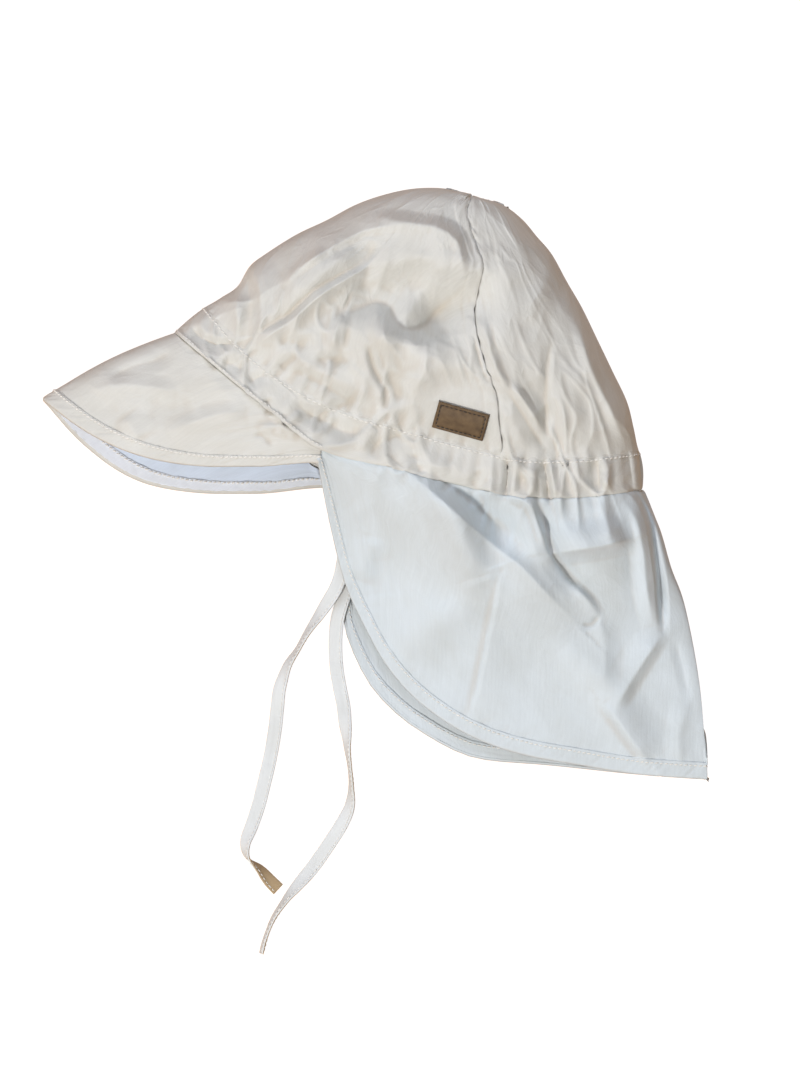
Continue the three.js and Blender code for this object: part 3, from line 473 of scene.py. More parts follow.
# The main folds, as in the CAD: from and to are a share and a level, bow is a share of the run, and the
# height and half width are shares of the casing's width.
MAIN_FOLDS = [
    ((0.1, 0.42), (0.12, 0.06), 0.12, 0.34, 0.5), ((0.13, 0.05), (0.42, 0.5), 0.05, -0.42, 0.5),
    ((0.3, 0.42), (0.52, 0.28), 0.2, -0.5, 0.62), ((0.52, 0.28), (0.68, 0.46), 0.25, -0.5, 0.62),
    ((0.34, 0.22), (0.62, 0.16), 0.1, 0.28, 0.6), ((0.37, 0.66), (0.68, 0.6), -0.25, 0.25, 0.45),
    ((0.44, 0.24), (0.49, 0.07), -0.1, -0.3, 0.35), ((0.74, 0.62), (0.7, 0.3), 0, 0.2, 0.4),
    ((0.76, 0.22), (0.83, 0.02), 0.05, -0.25, 0.35), ((0.24, 0.06), (0.37, 0.04), -0.1, 0.3, 0.4),
    ((0.6, -1.05), (0.7, -1.42), 0.02, 0.42, 0.5), ((0.67, -1.1), (0.74, -1.33), 0.05, -0.4, 0.5),
    ((0.8, -1.02), (0.87, -1.4), -0.08, -0.36, 0.4), ((0.8, -1.22), (0.95, -1.2), 0, 0.26, 0.5),
    ((0.96, -1.04), (0.95, -1.5), 0, -0.3, 0.35), ((0.72, -1.42), (0.62, -1.9), 0, 0.2, 0.6),
    ((0.84, -1.66), (0.93, -1.93), 0.05, 0.22, 0.5), ((0.48, -1.5), (0.58, -1.75), 0.1, -0.2, 0.6)]


def main_folds(places):
    raised = np.zeros(places.shape[:-1])
    for start, end, bow, height, width in MAIN_FOLDS:
        a, b = (plan_place(LEFT, s, l, False) for s, l in (start, end))
        run = b - a
        line = Line([a, (a + b) / 2 + bow * np.array([-run[1], run[0]]), b]).at(np.linspace(0, 1, 13))
        away, along, _ = to_line(places, line)
        most = height * CASING_WIDTH * np.sin(math.pi * (0.12 + 0.76 * along))
        raised += most * np.exp(-((away / (width * CASING_WIDTH)) ** 2))
    return raised


# The smaller creases, each as places in the photograph's pixels, the height in millimetres, the width of
# its two sides (left and right of its run) and how round its crest is.
CREASES = [
    # the bump over the front of the casing, and its facet
    ([(249, 263), (242, 285), (240, 310), (243, 338)], 1.6, 3.0, 5.0, 0.8),
    ([(252, 266), (263, 292), (264, 330), (262, 346)], 1.8, 6.0, 2.4, 0.6),
    # the long diagonal from the casing to the front panel's shoulder
    ([(252, 354), (273, 338), (297, 322), (321, 301), (344, 286), (368, 271), (386, 250)], 2.2, 1.7, 8.0, 0.4),
    ([(246, 347), (267, 331), (291, 316), (315, 294), (338, 280), (360, 267)], -0.8, 3.5, 1.2, 0.4),
    ([(286, 281), (310, 266), (334, 251), (368, 234), (405, 229)], 1.2, 5.0, 1.8, 0.4),
    ([(285, 290), (306, 270), (328, 254)], 1.1, 2.0, 5.0, 0.7),
    ([(300, 300), (330, 275), (356, 250)], 0.8, 3.0, 6.0, 1.0),
    # the big dent below the belly of the front panel
    ([(339, 306), (345, 314), (361, 311), (376, 305), (391, 309), (398, 324), (408, 331), (424, 330),
      (440, 312), (454, 300), (466, 288)], -2.6, 6.0, 6.5, 0.5),
    ([(346, 318), (338, 335), (336, 352)], 1.2, 3.0, 2.5, 0.6),
    ([(372, 344), (392, 338), (408, 346), (430, 349), (452, 341)], 1.3, 5.0, 8.0, 1.2),
    ([(385, 290), (398, 272), (420, 262), (440, 270), (452, 290)], 1.6, 6.0, 6.0, 2.0),
    ([(377, 222), (398, 226), (418, 229), (440, 233), (456, 243), (462, 262), (466, 284)], 1.9, 3.0, 6.0, 0.8),
    ([(376, 244), (371, 265), (363, 296)], -1.6, 4.0, 6.0, 1.2),
    ([(455, 245), (452, 268), (447, 292)], -1.0, 5.0, 4.0, 1.0),
    # creases between the belly and the casing
    ([(370, 347), (377, 371), (387, 391), (388, 412)], -1.7, 4.5, 1.6, 0.5),
    ([(373, 350), (382, 373), (392, 394), (392, 410)], 1.0, 1.5, 5.0, 0.6),
    ([(290, 373), (305, 376), (320, 383), (342, 396), (360, 405)], -1.6, 3.0, 3.5, 0.8),
    ([(318, 363), (338, 361), (356, 365)], -1.2, 2.5, 2.5, 0.8),
    ([(281, 345), (296, 344), (310, 351)], -1.1, 3.0, 3.0, 0.9),
    ([(283, 371), (292, 364), (302, 358)], -0.9, 2.0, 2.0, 0.6),
    ([(352, 330), (345, 352), (335, 378)], -0.8, 3.0, 3.0, 0.8),
    ([(365, 392), (347, 407), (325, 414), (308, 420)], -1.0, 2.5, 2.5, 0.7),
    ([(408, 372), (416, 392), (415, 420)], 0.7, 5.0, 5.0, 1.5),
    ([(395, 395), (412, 402), (424, 415)], -0.7, 3.0, 3.0, 1.0),
    # the gathers beside the side seam and at the back
    ([(473, 330), (478, 352), (486, 378), (500, 402)], -1.2, 5.0, 1.6, 0.6),
    ([(484, 318), (488, 345), (497, 372), (508, 396)], 1.3, 1.5, 5.0, 0.7),
    ([(505, 390), (522, 414), (536, 436), (544, 449)], -1.7, 2.0, 3.5, 0.5),
    ([(511, 386), (530, 412), (545, 436)], 1.2, 1.6, 4.0, 0.7),
    ([(551, 344), (547, 370), (546, 400), (547, 446)], -1.0, 1.4, 2.2, 0.5),
    ([(552, 240), (549, 275), (535, 305), (528, 330)], 1.0, 5.0, 6.0, 1.6),
    ([(500, 215), (520, 250), (528, 290)], 0.8, 6.0, 6.0, 2.0),
    ([(560, 290), (575, 330), (580, 370), (578, 410)], 0.9, 6.0, 5.0, 2.0),
    ([(578, 322), (591, 371), (610, 410), (626, 446)], 1.6, 5.0, 2.5, 0.7),
    # the casing: the crease over the front, and its puckers
    ([(193, 326), (205, 339), (221, 346), (240, 345)], -1.8, 1.8, 3.0, 0.5),
    ([(226, 362), (238, 367), (248, 372)], -1.2, 3.0, 3.0, 0.8),
    ([(252, 385), (262, 379), (272, 377)], -1.0, 2.0, 2.5, 0.6),
    ([(270, 399), (273, 409), (275, 418)], -1.0, 2.0, 2.0, 0.6),
    ([(288, 425), (279, 417), (271, 411)], 0.7, 1.6, 1.6, 0.5),
    ([(288, 425), (297, 419), (303, 414)], 0.7, 1.6, 1.6, 0.5),
    ([(288, 425), (284, 432), (281, 438)], 0.6, 1.6, 1.6, 0.5),
    ([(300, 405), (308, 412), (322, 421), (338, 424)], -1.1, 3.0, 3.0, 0.8),
    ([(330, 420), (340, 430), (352, 434), (366, 434)], -1.4, 3.5, 3.5, 0.8),
    ([(372, 458), (380, 446), (395, 438), (412, 433)], -1.3, 3.0, 3.5, 0.7),
    ([(362, 452), (368, 440), (378, 428)], 0.9, 3.0, 3.0, 0.9),
    ([(418, 452), (419, 463), (424, 476)], -0.9, 2.5, 2.5, 0.7),
    ([(430, 442), (437, 455), (446, 468)], 0.7, 3.0, 4.0, 1.0),
    ([(478, 470), (482, 478), (490, 485)], -0.6, 3.0, 3.0, 1.0),
    ([(507, 456), (509, 472), (506, 498)], -1.9, 1.3, 1.6, 0.3),
    ([(513, 460), (515, 475), (512, 495)], 1.1, 1.6, 1.8, 0.5),
    ([(545, 460), (547, 478), (550, 503)], -2.1, 1.2, 1.6, 0.3),
    ([(551, 462), (553, 478), (556, 498)], 1.1, 1.6, 2.4, 0.5),
    ([(530, 462), (532, 478), (530, 495)], 0.6, 2.5, 2.5, 0.8),
    ([(595, 458), (600, 475), (598, 493)], -1.0, 1.6, 2.2, 0.5),
    ([(604, 458), (607, 472), (604, 491)], 0.8, 2.0, 2.2, 0.6),
    ([(575, 459), (578, 475), (576, 494)], 0.5, 3.0, 3.0, 0.9),
    ([(628, 449), (630, 468), (633, 488)], -1.1, 1.6, 2.0, 0.5),
    # the flap
    ([(408, 472), (430, 490), (455, 511), (480, 532), (500, 550), (522, 567), (546, 592), (578, 624)],
     2.7, 4.5, 16.0, 0.3),
    ([(425, 470), (452, 488), (478, 506), (502, 524), (520, 540)], -2.2, 5.0, 5.0, 0.8),
    ([(505, 496), (520, 500), (532, 508), (538, 524), (546, 548)], 1.6, 5.0, 1.6, 0.5),
    ([(540, 505), (546, 524), (551, 548), (562, 568), (583, 594)], -2.0, 2.0, 4.0, 0.5),
    ([(531, 505), (541, 530), (549, 554), (566, 577), (588, 600), (600, 618)], 1.8, 1.8, 7.0, 0.5),
    ([(551, 553), (576, 550), (602, 546), (634, 538)], 3.0, 8.0, 3.5, 0.3),
    ([(583, 623), (592, 624), (600, 615)], -0.5, 1.2, 1.2, 0.3),
    ([(503, 576), (496, 610), (488, 650), (480, 690), (473, 716)], 1.0, 12.0, 1.5, 0.2),
    ([(462, 592), (478, 584), (498, 576)], 0.4, 2.5, 4.0, 0.6),
    ([(628, 484), (642, 500), (651, 520), (656, 545), (661, 580), (664, 628)], -3.0, 1.8, 1.6, 0.4),
    ([(624, 500), (636, 520), (643, 550), (647, 590), (655, 625)], 1.8, 4.0, 3.5, 0.9),
    ([(664, 632), (650, 652), (632, 680), (615, 708)], 1.4, 2.5, 6.0, 0.5),
    ([(604, 702), (618, 720), (634, 742), (650, 762)], 1.5, 10.0, 1.8, 0.3),
    ([(600, 618), (606, 650), (604, 690)], 0.8, 4.0, 6.0, 1.0),
    ([(376, 536), (368, 560), (362, 580)], 0.8, 5.0, 5.0, 1.5),
    ([(355, 500), (372, 520), (380, 560)], 0.5, 7.0, 7.0, 2.0),
    ([(430, 600), (470, 590), (500, 580)], -0.6, 6.0, 6.0, 2.0),
    ([(470, 478), (480, 492), (486, 508)], -0.9, 2.5, 2.5, 0.6),
    ([(598, 500), (602, 520), (612, 540)], 0.6, 4.0, 4.0, 1.2),
    ([(690, 700), (680, 735), (684, 765)], 0.8, 4.0, 4.0, 1.0),
    ([(676, 640), (684, 670), (690, 700)], -0.6, 2.0, 2.0, 0.6),
    # the peak
    ([(70, 388), (110, 372), (150, 356), (165, 350)], 0.9, 6.0, 8.0, 2.0),
    ([(112, 380), (135, 368), (158, 362), (176, 352)], -1.0, 5.0, 3.0, 0.8),
    ([(96, 392), (118, 386), (150, 388), (180, 392)], 1.0, 3.0, 7.0, 1.0),
    ([(172, 434), (195, 424), (222, 416), (250, 414)], 0.9, 3.0, 5.0, 0.8),
    ([(128, 418), (135, 428), (143, 441)], 0.8, 6.0, 3.0, 0.8),
    ([(150, 400), (175, 408), (200, 402)], -0.6, 5.0, 5.0, 1.5),
    ([(258, 440), (264, 436), (276, 446)], -0.4, 1.2, 1.2, 0.3),
    ([(262, 432), (282, 428), (300, 436)], 0.8, 2.0, 2.5, 0.5),
    ([(205, 372), (228, 392), (250, 412)], 0.5, 4.0, 6.0, 1.5)]


def from_photo(points):
    """Places in the photograph's pixels as plan places in millimetres."""
    return (np.array(points, float) - (400, 533.5)) * (0.45, -0.45) + np.array(PHOTO_MIDDLE) * 1000


CREASE_RISE, CREASE_SPREAD = 2.6, 1.75


def small_creases(places):
    raised = np.zeros(places.shape[:-1])
    for points, height, left_width, right_width, crest in CREASES:
        line = Line(from_photo(points)).along(np.linspace(0, 1, 3 * len(points) + 4))
        away, along, side = to_line(places, line)
        width = np.where(side > 0, left_width, right_width)
        soft = np.sqrt(away**2 + crest**2) - crest
        taper = smooth(along, -0.08, 0.25) * smooth(1 - along, -0.08, 0.25)
        raised += CREASE_RISE * height * taper * np.clip(1 - soft / (CREASE_SPREAD * width), 0, 1) ** 1.5
    return raised


def ripples(x, y, size, seed, count=14):
    """Soft random waves about as long as size, from -1 to 1 or so."""
    rng = np.random.default_rng(seed)
    total = np.zeros(np.broadcast(x, y).shape)
    bend_x, bend_y = (0.35 * size * np.sin(v / size * 1.7 + s) for v, s in ((y, 1.0), (x, 2.0)))
    for _ in range(count):
        angle, phase, long = rng.uniform(0, math.pi), rng.uniform(0, 2 * math.pi), size * rng.uniform(0.7, 1.6)
        total = total + np.sin(((x + bend_x) * math.cos(angle) + (y + bend_y) * math.sin(angle))
                               * 2 * math.pi / long + phase)
    return total / math.sqrt(count)


def crumples(x, y, size, seed):
    """Crisp wandering ridges about one size apart, as in cloth that was crushed, from 0 to 1."""
    rng = np.random.default_rng(seed)
    grid = rng.uniform(size=(3, 64, 64))

    def blotches(k, x, y):
        i, j = np.floor(x).astype(int), np.floor(y).astype(int)
        f, g = x - i, y - j
        f, g = f * f * (3 - 2 * f), g * g * (3 - 2 * g)
        a, b, c, d = (grid[k, (i + m) % 64, (j + n) % 64] for m, n in ((0, 0), (1, 0), (0, 1), (1, 1)))
        return (a * (1 - f) + b * f) * (1 - g) + (c * (1 - f) + d * f) * g

    x, y = x / size, y / size
    x, y = x + 1.3 * blotches(1, x * 0.8, y * 0.8), y + 1.3 * blotches(2, x * 0.8 + 9, y * 0.8)
    ridge = 1 - np.abs(2 * blotches(0, x, y) - 1)
    return ridge ** 3


def on_left_side(places):
    """The share and level of plan places on the crown's side that faces up."""
    share, level = np.full(places.shape[:-1], 0.6), np.full(places.shape[:-1], 0.3)
    for _ in range(25):
        here = plan_place(LEFT, share, level, False)
        round_ = (plan_place(LEFT, share + 1e-4, level, False) - here) / 1e-4
        up = (plan_place(LEFT, share, level + 1e-4, False) - here) / 1e-4
        away = places - here
        area = round_[..., 0] * up[..., 1] - round_[..., 1] * up[..., 0]
        share = share + 0.8 * (away[..., 0] * up[..., 1] - away[..., 1] * up[..., 0]) / area
        level = level + 0.8 * (round_[..., 0] * away[..., 1] - round_[..., 1] * away[..., 0]) / area
        share, level = np.clip(share, 0.02, 0.98), np.clip(level, -0.05, 0.97)
    return share, level


PATCH_MIDDLE = from_photo((462, 421.5))


def skin(turn, level, on_peak):
    """The outer face of the cap, in millimetres, with all its wrinkles on the side that faces up."""
    turn, level = np.broadcast_arrays(turn, level)
    share = share_of(turn)
    upper = np.sin(turn) >= -1e-9
    left, right = (plan_place(side, share, level, on_peak) for side in (LEFT, RIGHT))
    places = np.where(upper[..., None], left, right)
    loose = smooth(arch(share), 0.35, 0.9)
    edge = smooth(arch(share), 0.12, 0.6)
    clear = smooth(np.linalg.norm(places - PATCH_MIDDLE, axis=-1) / 25, 0.55, 1.1)
    back = (share - 0.7) / 0.3
    gathers = np.where(back > 0, 0.5 * np.sin(math.pi * np.clip(back, 0, 1)) * np.exp(-((level + 0.5) / 0.6) ** 2)
                       * np.sin(2 * math.pi * 9 * back), 0)
    x, y = places[..., 0], places[..., 1]
    gone, up = CROWN_LENGTH * share, np.where(level > 0, CROWN_HEIGHT, CASING_WIDTH) * level
    fine = 0.2 * ripples(x, y, 19, 3) + 1.8 * crumples(gone, 0.6 * up, 15, 61)
    fine = fine + 1.5 * crumples(gone + 0.4 * up, 0.7 * up, 9, 62)
    near_casing = smooth(0.36 - level, 0, 0.3) * smooth(level, -1.35, -1)
    fine = fine * (0.12 if on_peak else 0.2 * smooth(level, -1.3, -0.8) + 0.06 + 1.1 * near_casing)
    z = fold_rise(level) + bulge(share, level, on_peak) + (main_folds(places) + gathers) * loose * clear
    z = z + small_creases(places) * edge * clear + fine * edge * (0.08 + 0.92 * clear)
    low = rest_height(places, level)
    return np.concatenate([places, np.where(upper, z, low)[..., None]], -1)


def puckers(gone, seed, size):
    """The little waves that sewing leaves across a seam, at lengths along it."""
    rng = np.random.default_rng(seed)
    wave = sum(np.sin(gone * 2 * math.pi / (size * rng.uniform(0.6, 1.7)) + rng.uniform(0, 6.3)) for _ in range(5))
    return wave / 2.4


OTHER_SIDE = 300


def seam_puckers(turns, off, size, reach, seed):
    """Puckers beside the seams round the head, off being the distance from one. Each side has its own."""
    gone = CROWN_LENGTH * share_of(turns) + OTHER_SIDE * (np.sin(turns) < 0)
    return puckers(gone, seed, size) * np.exp(-(off / reach) ** 2)


def raised(faces, height):
    """The grid moved out along its normals by a height in millimetres."""
    out = np.cross(np.gradient(faces, axis=0), np.gradient(faces, axis=1))
    out = out / np.maximum(np.linalg.norm(out, axis=-1, keepdims=True), 1e-9)
    return faces + out * height[..., None]


def lengths(faces, axis):
    """How far along each row (axis 0) or column (axis 1) every point of a grid is, in millimetres."""
    steps = np.linalg.norm(np.diff(faces, axis=axis), axis=-1)
    start = np.zeros_like(steps[:1]) if axis == 0 else np.zeros_like(steps[:, :1])
    return np.concatenate([start, np.cumsum(steps, axis)], axis)


# The crown: a front and a back panel on each side, sewn from the casing to the top, with their seam
# allowances pressed to one side. The left panels collapse into folds, and the right ones lie flat.
CROWN_TOP_LEVEL = 0.993
SEAM_DIP = -0.05
seam_turn = turn_of(SIDE_SEAM)

# The side seam on the side that faces up, slumped forwards by the folds, in the photograph's pixels.
SEAM_ROUTE = [(503, 448), (499, 420), (497, 396), (484, 363), (477, 335), (475, 312), (480, 289), (485, 268),
              (474, 240), (468, 212)]
seam_shares, seam_levels = on_left_side(from_photo(SEAM_ROUTE))


def crown(name, first, last, columns, rows, seams, *nodes):
    levels = CROWN_TOP_LEVEL * np.linspace(0, 1, rows)[None, :] ** 1.1
    wander = turn_of(np.interp(levels, seam_levels, seam_shares)) - seam_turn
    start, end = (edge + wander * (edge == seam_turn) for edge in (first, last))
    turns = start + (end - start) * np.linspace(0, 1, columns)[:, None]
    faces = skin(turns, levels, False)
    up, around = lengths(faces, 1), lengths(faces, 0)
    lift = 0.35 * seam_puckers(turns, up, 9, 6, 11) + 0.25 * seam_puckers(turns, up, 4, 2.5, 12)
    lift = lift + SEAM_DIP * np.exp(-(up / 0.6) ** 2)
    for at_end, side in seams:
        away = around[-1] - around if at_end else around
        lift = lift - 0.55 * np.exp(-(away / 0.8) ** 2) + side * 0.4 * smooth(6.5 - away, 0, 1.2)
        lift = lift + 0.3 * puckers(up, 17 + at_end, 7) * np.exp(-(away / 4) ** 2)
    lift = lift * smooth(1 - levels, 0.005, 0.06)
    return cloth(name, raised(faces, lift) / 1000, 0.0009, warm_lit_cotton, *nodes)


crown("crown_front_left_cloth", 0, seam_turn, 240, 180, [(True, 1)], "crown_front_left")
crown("crown_back_left_cloth", seam_turn, math.pi, 120, 170, [(False, 0)], "crown_back_left")
crown("crown_back_right_cloth", math.pi, 2 * math.pi - seam_turn, 40, 70, [(True, 0)], "crown_back_right")
crown("crown_front_right_cloth", 2 * math.pi - seam_turn, 2 * math.pi, 80, 70, [(False, 1)], "crown_front_right")

# The casing: a doubled band round the head, stitched along both edges, with an elastic inside the back
# half that gathers it into short pleats.
def turns_over(*stretches):
    """Turns over some stretches, each from its start up to its end in a count of steps."""
    return np.concatenate([np.linspace(start, end, count, endpoint=False) for start, end, count in stretches])


turns = turns_over((0, math.pi, 420), (math.pi, 2 * math.pi, 140))
rise = np.linspace(0, 1, 40)
casing_levels = -1 + 1.02 * (0.45 * rise + 0.55 * (1 - np.cos(math.pi * rise)) / 2)
faces = skin(turns[:, None], casing_levels[None, :], False)
up = lengths(faces, 1)
width = up[:, -1:]
middle = np.sin(math.pi * np.clip(up / width, 0, 1))
loose = smooth(share_of(turns), 0.55, 0.75)[:, None]
front = smooth(0.42 - share_of(turns), 0, 0.05)[:, None]
turning, off = turns[:, None], width - up
lift = 0.3 * middle + 0.35 * seam_puckers(turning, off, 9, 6, 11) + 0.25 * seam_puckers(turning, off, 4, 2.5, 12)
lift = lift - 0.5 * smooth(0.7 - off, 0, 0.5) - 0.55 * np.exp(-((off - 1.6) / 0.45) ** 2)
lift = lift + (0.2 + 0.5 * loose) * seam_puckers(turning, 0 * off, 7, 9, 23) * middle
peak_ridge = 0.6 * smooth(np.abs(np.sin(turning)), 0.05, 0.4) * np.exp(-((up - 1.1) / 0.7) ** 2)
lift = lift + front * peak_ridge - (1 - front) * 0.4 * np.exp(-(up / 0.7) ** 2)
casing_faces = raised(faces, lift) / 1000
cloth("casing_cloth", casing_faces, 0.0018, warm_lit_cotton, "casing", ring=True)

# The peak: two layers over a stiffener, bent along its middle, with a row of stitches beside its binding.
# Its underside, seen between the halves, and the inside of its binding are painted a pale cool blue. This is painted
# light, standing in for the cool light that falls on them.
peak_turn = turn_of(PEAK_END)
whole = 2 * math.pi
peak_turns = np.append(turns_over((whole - peak_turn, whole, 110), (whole, whole + peak_turn, 190)),
                       whole + peak_turn)


def hem_level(turns, on_peak, width):
    """The level at which a binding of that width begins, narrowing where the cloth runs out."""
    share = share_of(turns)
    upper = np.sin(turns) >= -1e-9
    reach = np.where(upper, *[np.linalg.norm(plan_place(s, share, -1.0, on_peak)
                                             - plan_place(s, share, -2.0, on_peak), axis=-1) for s in (LEFT, RIGHT)])
    return -2 + width / (reach + width)


PEAK_HEM, FLAP_HEM = 8.0, 6.4
peak_gone = CROWN_LENGTH * share_of(peak_turns)[:, None]
inner = hem_level(peak_turns, True, PEAK_HEM)[:, None]
faces = skin(peak_turns[:, None], inner + (-1 - inner) * np.linspace(0, 1, 70)[None, :], True)
up = lengths(faces, 1)
from_casing = up[:, -1:] - up
lift = 0.2 * puckers(peak_gone, 31, 8) * np.exp(-(up / 5) ** 2)
lift = lift + 0.25 * seam_puckers(peak_turns[:, None], from_casing, 9, 4, 37)
lift = lift - 0.2
cloth("peak_cloth", raised(faces, lift) / 1000, 0.0018, warm_lit_cotton, "peak", inside=cool_lit_underside_cotton)


def binding(name, turns, on_peak, width, thick, material, inside, cad_node, seed):
    """Cloth folded over an edge: a flat tube, a little thicker than what it covers."""
    inner = hem_level(turns, on_peak, width + 0.8)[:, None]
    faces = skin(turns[:, None], -2 + (inner + 2) * np.linspace(0, 1, 14)[None, :], on_peak)
    up, around = lengths(faces, 1), lengths(faces, 0)
    fullness = np.maximum(up[:, -1:], 1e-6)
    rounded = 1 - np.sqrt(1 - smooth(1 - up / 1.3, 0, 1) ** 2)
    lift = 0.25 - 0.5 * thick * rounded + 0.12 * puckers(around, seed, 5) * np.sin(math.pi * up / fullness)
    moved = raised(faces, lift)
    cloth(name, moved / 1000, thick / 1000, material, cad_node, inside=inside)
    return moved


peak_edge = binding("peak_binding_cloth", peak_turns, True, PEAK_HEM, 2.5, warm_lit_cotton, cool_lit_binding_inside,
                    "peak_binding", 41)

# The neck flap: one layer of cotton that hangs from the casing to below the collar, folded here along the
# nape, with its hem turned up and stitched.
flap_first, flap_last = turn_of(FLAP_START), 2 * math.pi - turn_of(FLAP_START)
flap_turns = np.append(turns_over((flap_first, math.pi, 245), (math.pi, flap_last, 44)), flap_last)
inner = hem_level(flap_turns, False, FLAP_HEM)[:, None]
faces = skin(flap_turns[:, None], inner + (-1 - inner) * np.linspace(0, 1, 168)[None, :], False)
up, around = lengths(faces, 1), lengths(faces, 0)
fullness = up[:, -1:]
gathered = smooth(share_of(flap_turns), 0.5, 0.75)[:, None]
lift = 0.12 * puckers(around, 43, 8) * np.exp(-(up / 5) ** 2)
lift = lift + (0.15 + 0.4 * gathered) * seam_puckers(flap_turns[:, None], fullness - up, 7, 10, 23)
lift = lift - 0.05 - 0.4 * np.exp(-((fullness - up) / 0.8) ** 2)
flap = cloth("neck_flap_cloth", raised(faces, lift) / 1000, 0.0009, cool_lit_cotton, "neck_flap")
flap_edge = binding("flap_binding_cloth", flap_turns, False, FLAP_HEM, 1.5, cool_lit_cotton, cool_lit_cotton,
                    "flap_binding", 53)


# The stitches: short white threads. Each row is placed by points along it with the cloth's outward
# direction, and Geometry Nodes puts a thread at every point.
def stitch_tree(name, material):
    tree = bpy.data.node_groups.new(name, "GeometryNodeTree")
    face = tree.interface
    face.new_socket("Geometry", in_out="INPUT", socket_type="NodeSocketGeometry")
    for label, value in (("Stitch length", 0.002), ("Thread", 0.0003)):
        face.new_socket(label, in_out="INPUT", socket_type="NodeSocketFloat").default_value = value
    face.new_socket("Geometry", in_out="OUTPUT", socket_type="NodeSocketGeometry")
    given = node(tree, "NodeGroupInput").outputs
    ball = node(tree, "GeometryNodeMeshUVSphere", Segments=8, Rings=6, Radius=1.0)
    half = node(tree, "ShaderNodeMath", {"operation": "MULTIPLY"}, _0=given["Stitch length"], _1=0.5)
    size = node(tree, "ShaderNodeCombineXYZ", X=half.outputs["Value"], Y=given["Thread"], Z=given["Thread"])
    shaped = node(tree, "GeometryNodeTransform", Geometry=ball.outputs["Mesh"], Scale=size.outputs["Vector"])
    smoothed = node(tree, "GeometryNodeSetShadeSmooth", Geometry=shaped.outputs["Geometry"])
    ahead = node(tree, "GeometryNodeInputNamedAttribute", {"data_type": "FLOAT_VECTOR"}, Name="ahead")
    out = node(tree, "GeometryNodeInputNamedAttribute", {"data_type": "FLOAT_VECTOR"}, Name="out")
    first = node(tree, "FunctionNodeAlignRotationToVector", {"axis": "X"}, Vector=ahead.outputs["Attribute"])
    second = node(tree, "FunctionNodeAlignRotationToVector", {"axis": "Z", "pivot_axis": "X"},
                  Rotation=first.outputs["Rotation"], Vector=out.outputs["Attribute"])
    jitter = node(tree, "FunctionNodeRandomValue", {"data_type": "FLOAT_VECTOR"}, Seed=7,
                  _0=(0.85, 0.85, 0.8), _1=(1.1, 1.15, 1.15))
    placed = node(tree, "GeometryNodeInstanceOnPoints", Points=given["Geometry"],
                  Instance=smoothed.outputs["Geometry"], Rotation=second.outputs["Rotation"],
                  Scale=jitter.outputs["Value"])
    real = node(tree, "GeometryNodeRealizeInstances", Geometry=placed.outputs["Instances"])
    done = node(tree, "GeometryNodeSetMaterial", Geometry=real.outputs["Geometry"], Material=material)
    node(tree, "NodeGroupOutput", Geometry=done.outputs["Geometry"])
    return tree


# Sewing thread: twisted cotton, a little glossier than the cloth. The noise stands for its twist.
def thread_material(name, colour):
    material, tree, shader = finish(name)
    shader.inputs["Roughness"].default_value = 0.6
    shader.inputs["Sheen Weight"].default_value = 0.2
    place = node(tree, "ShaderNodeTexCoord").outputs["Object"]
    twist = node(tree, "ShaderNodeTexNoise", Vector=place, Scale=2600.0, Detail=2.0)
    base = linear(colour)
    ramp = node(tree, "ShaderNodeValToRGB", _0=twist.outputs["Fac"])
    dull = tuple(c * 0.85 for c in base[:3]) + (1,)
    for stop, at, tone in zip(ramp.color_ramp.elements, (0.3, 0.7), (dull, base)):
        stop.position, stop.color = at, tone
    tree.links.new(ramp.outputs["Color"], shader.inputs["Base Color"])
    bump = node(tree, "ShaderNodeBump", Strength=0.5, Distance=0.0001, Height=twist.outputs["Fac"])
    tree.links.new(bump.outputs["Normal"], shader.inputs["Normal"])
    return material


def stitches(name, rows, tree, slant=0.0):
    """One object of threads for some rows. A row has its line, the outward directions, the stitch's pitch
    and the thread's radius."""
    places, aheads, outs = [], [], []
    for line, out, pitch, _ in rows:
        gone = np.concatenate([[0], np.cumsum(np.linalg.norm(np.diff(line, axis=0), axis=1))])
        at = np.arange(pitch / 2, gone[-1], pitch)
        place = np.stack([np.interp(at, gone, line[:, k]) for k in range(3)], -1)
        facing = np.stack([np.interp(at, gone, out[:, k]) for k in range(3)], -1)
        ahead = np.stack([np.interp(at + pitch * 0.3, gone, line[:, k]) for k in range(3)], -1) - place
        ahead = ahead + slant * np.cross(facing, ahead)
        places.append(place + facing * 0.0001)
        aheads.append(ahead)
        outs.append(facing)
    places, aheads, outs = (np.concatenate(group) for group in (places, aheads, outs))
    mesh = bpy.data.meshes.new(name + "_points")
    mesh.from_pydata(places.tolist(), [], [])
    for label, values in (("ahead", aheads), ("out", outs)):
        mesh.attributes.new(label, "FLOAT_VECTOR", "POINT").data.foreach_set("vector", values.ravel())
    seeds = in_scene(name + "_points", mesh)
    modifier = seeds.modifiers.new("threads", "NODES")
    modifier.node_group = tree
    sockets = {item.name: item.identifier for item in tree.interface.items_tree if item.in_out == "INPUT"}
    modifier[sockets["Stitch length"]] = rows[0][2] * 0.82
    modifier[sockets["Thread"]] = rows[0][3]
    bpy.context.view_layer.update()
    grown = bpy.data.meshes.new_from_object(seeds.evaluated_get(bpy.context.evaluated_depsgraph_get()))
    made = in_scene(name, grown)
    bpy.data.objects.remove(seeds)
    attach(made, "root")
    return made


white_thread = thread_material("white_thread", "#f2efe9")
threads = stitch_tree("threads", white_thread)
stitches("tie_stitches", stitch_rows, threads)


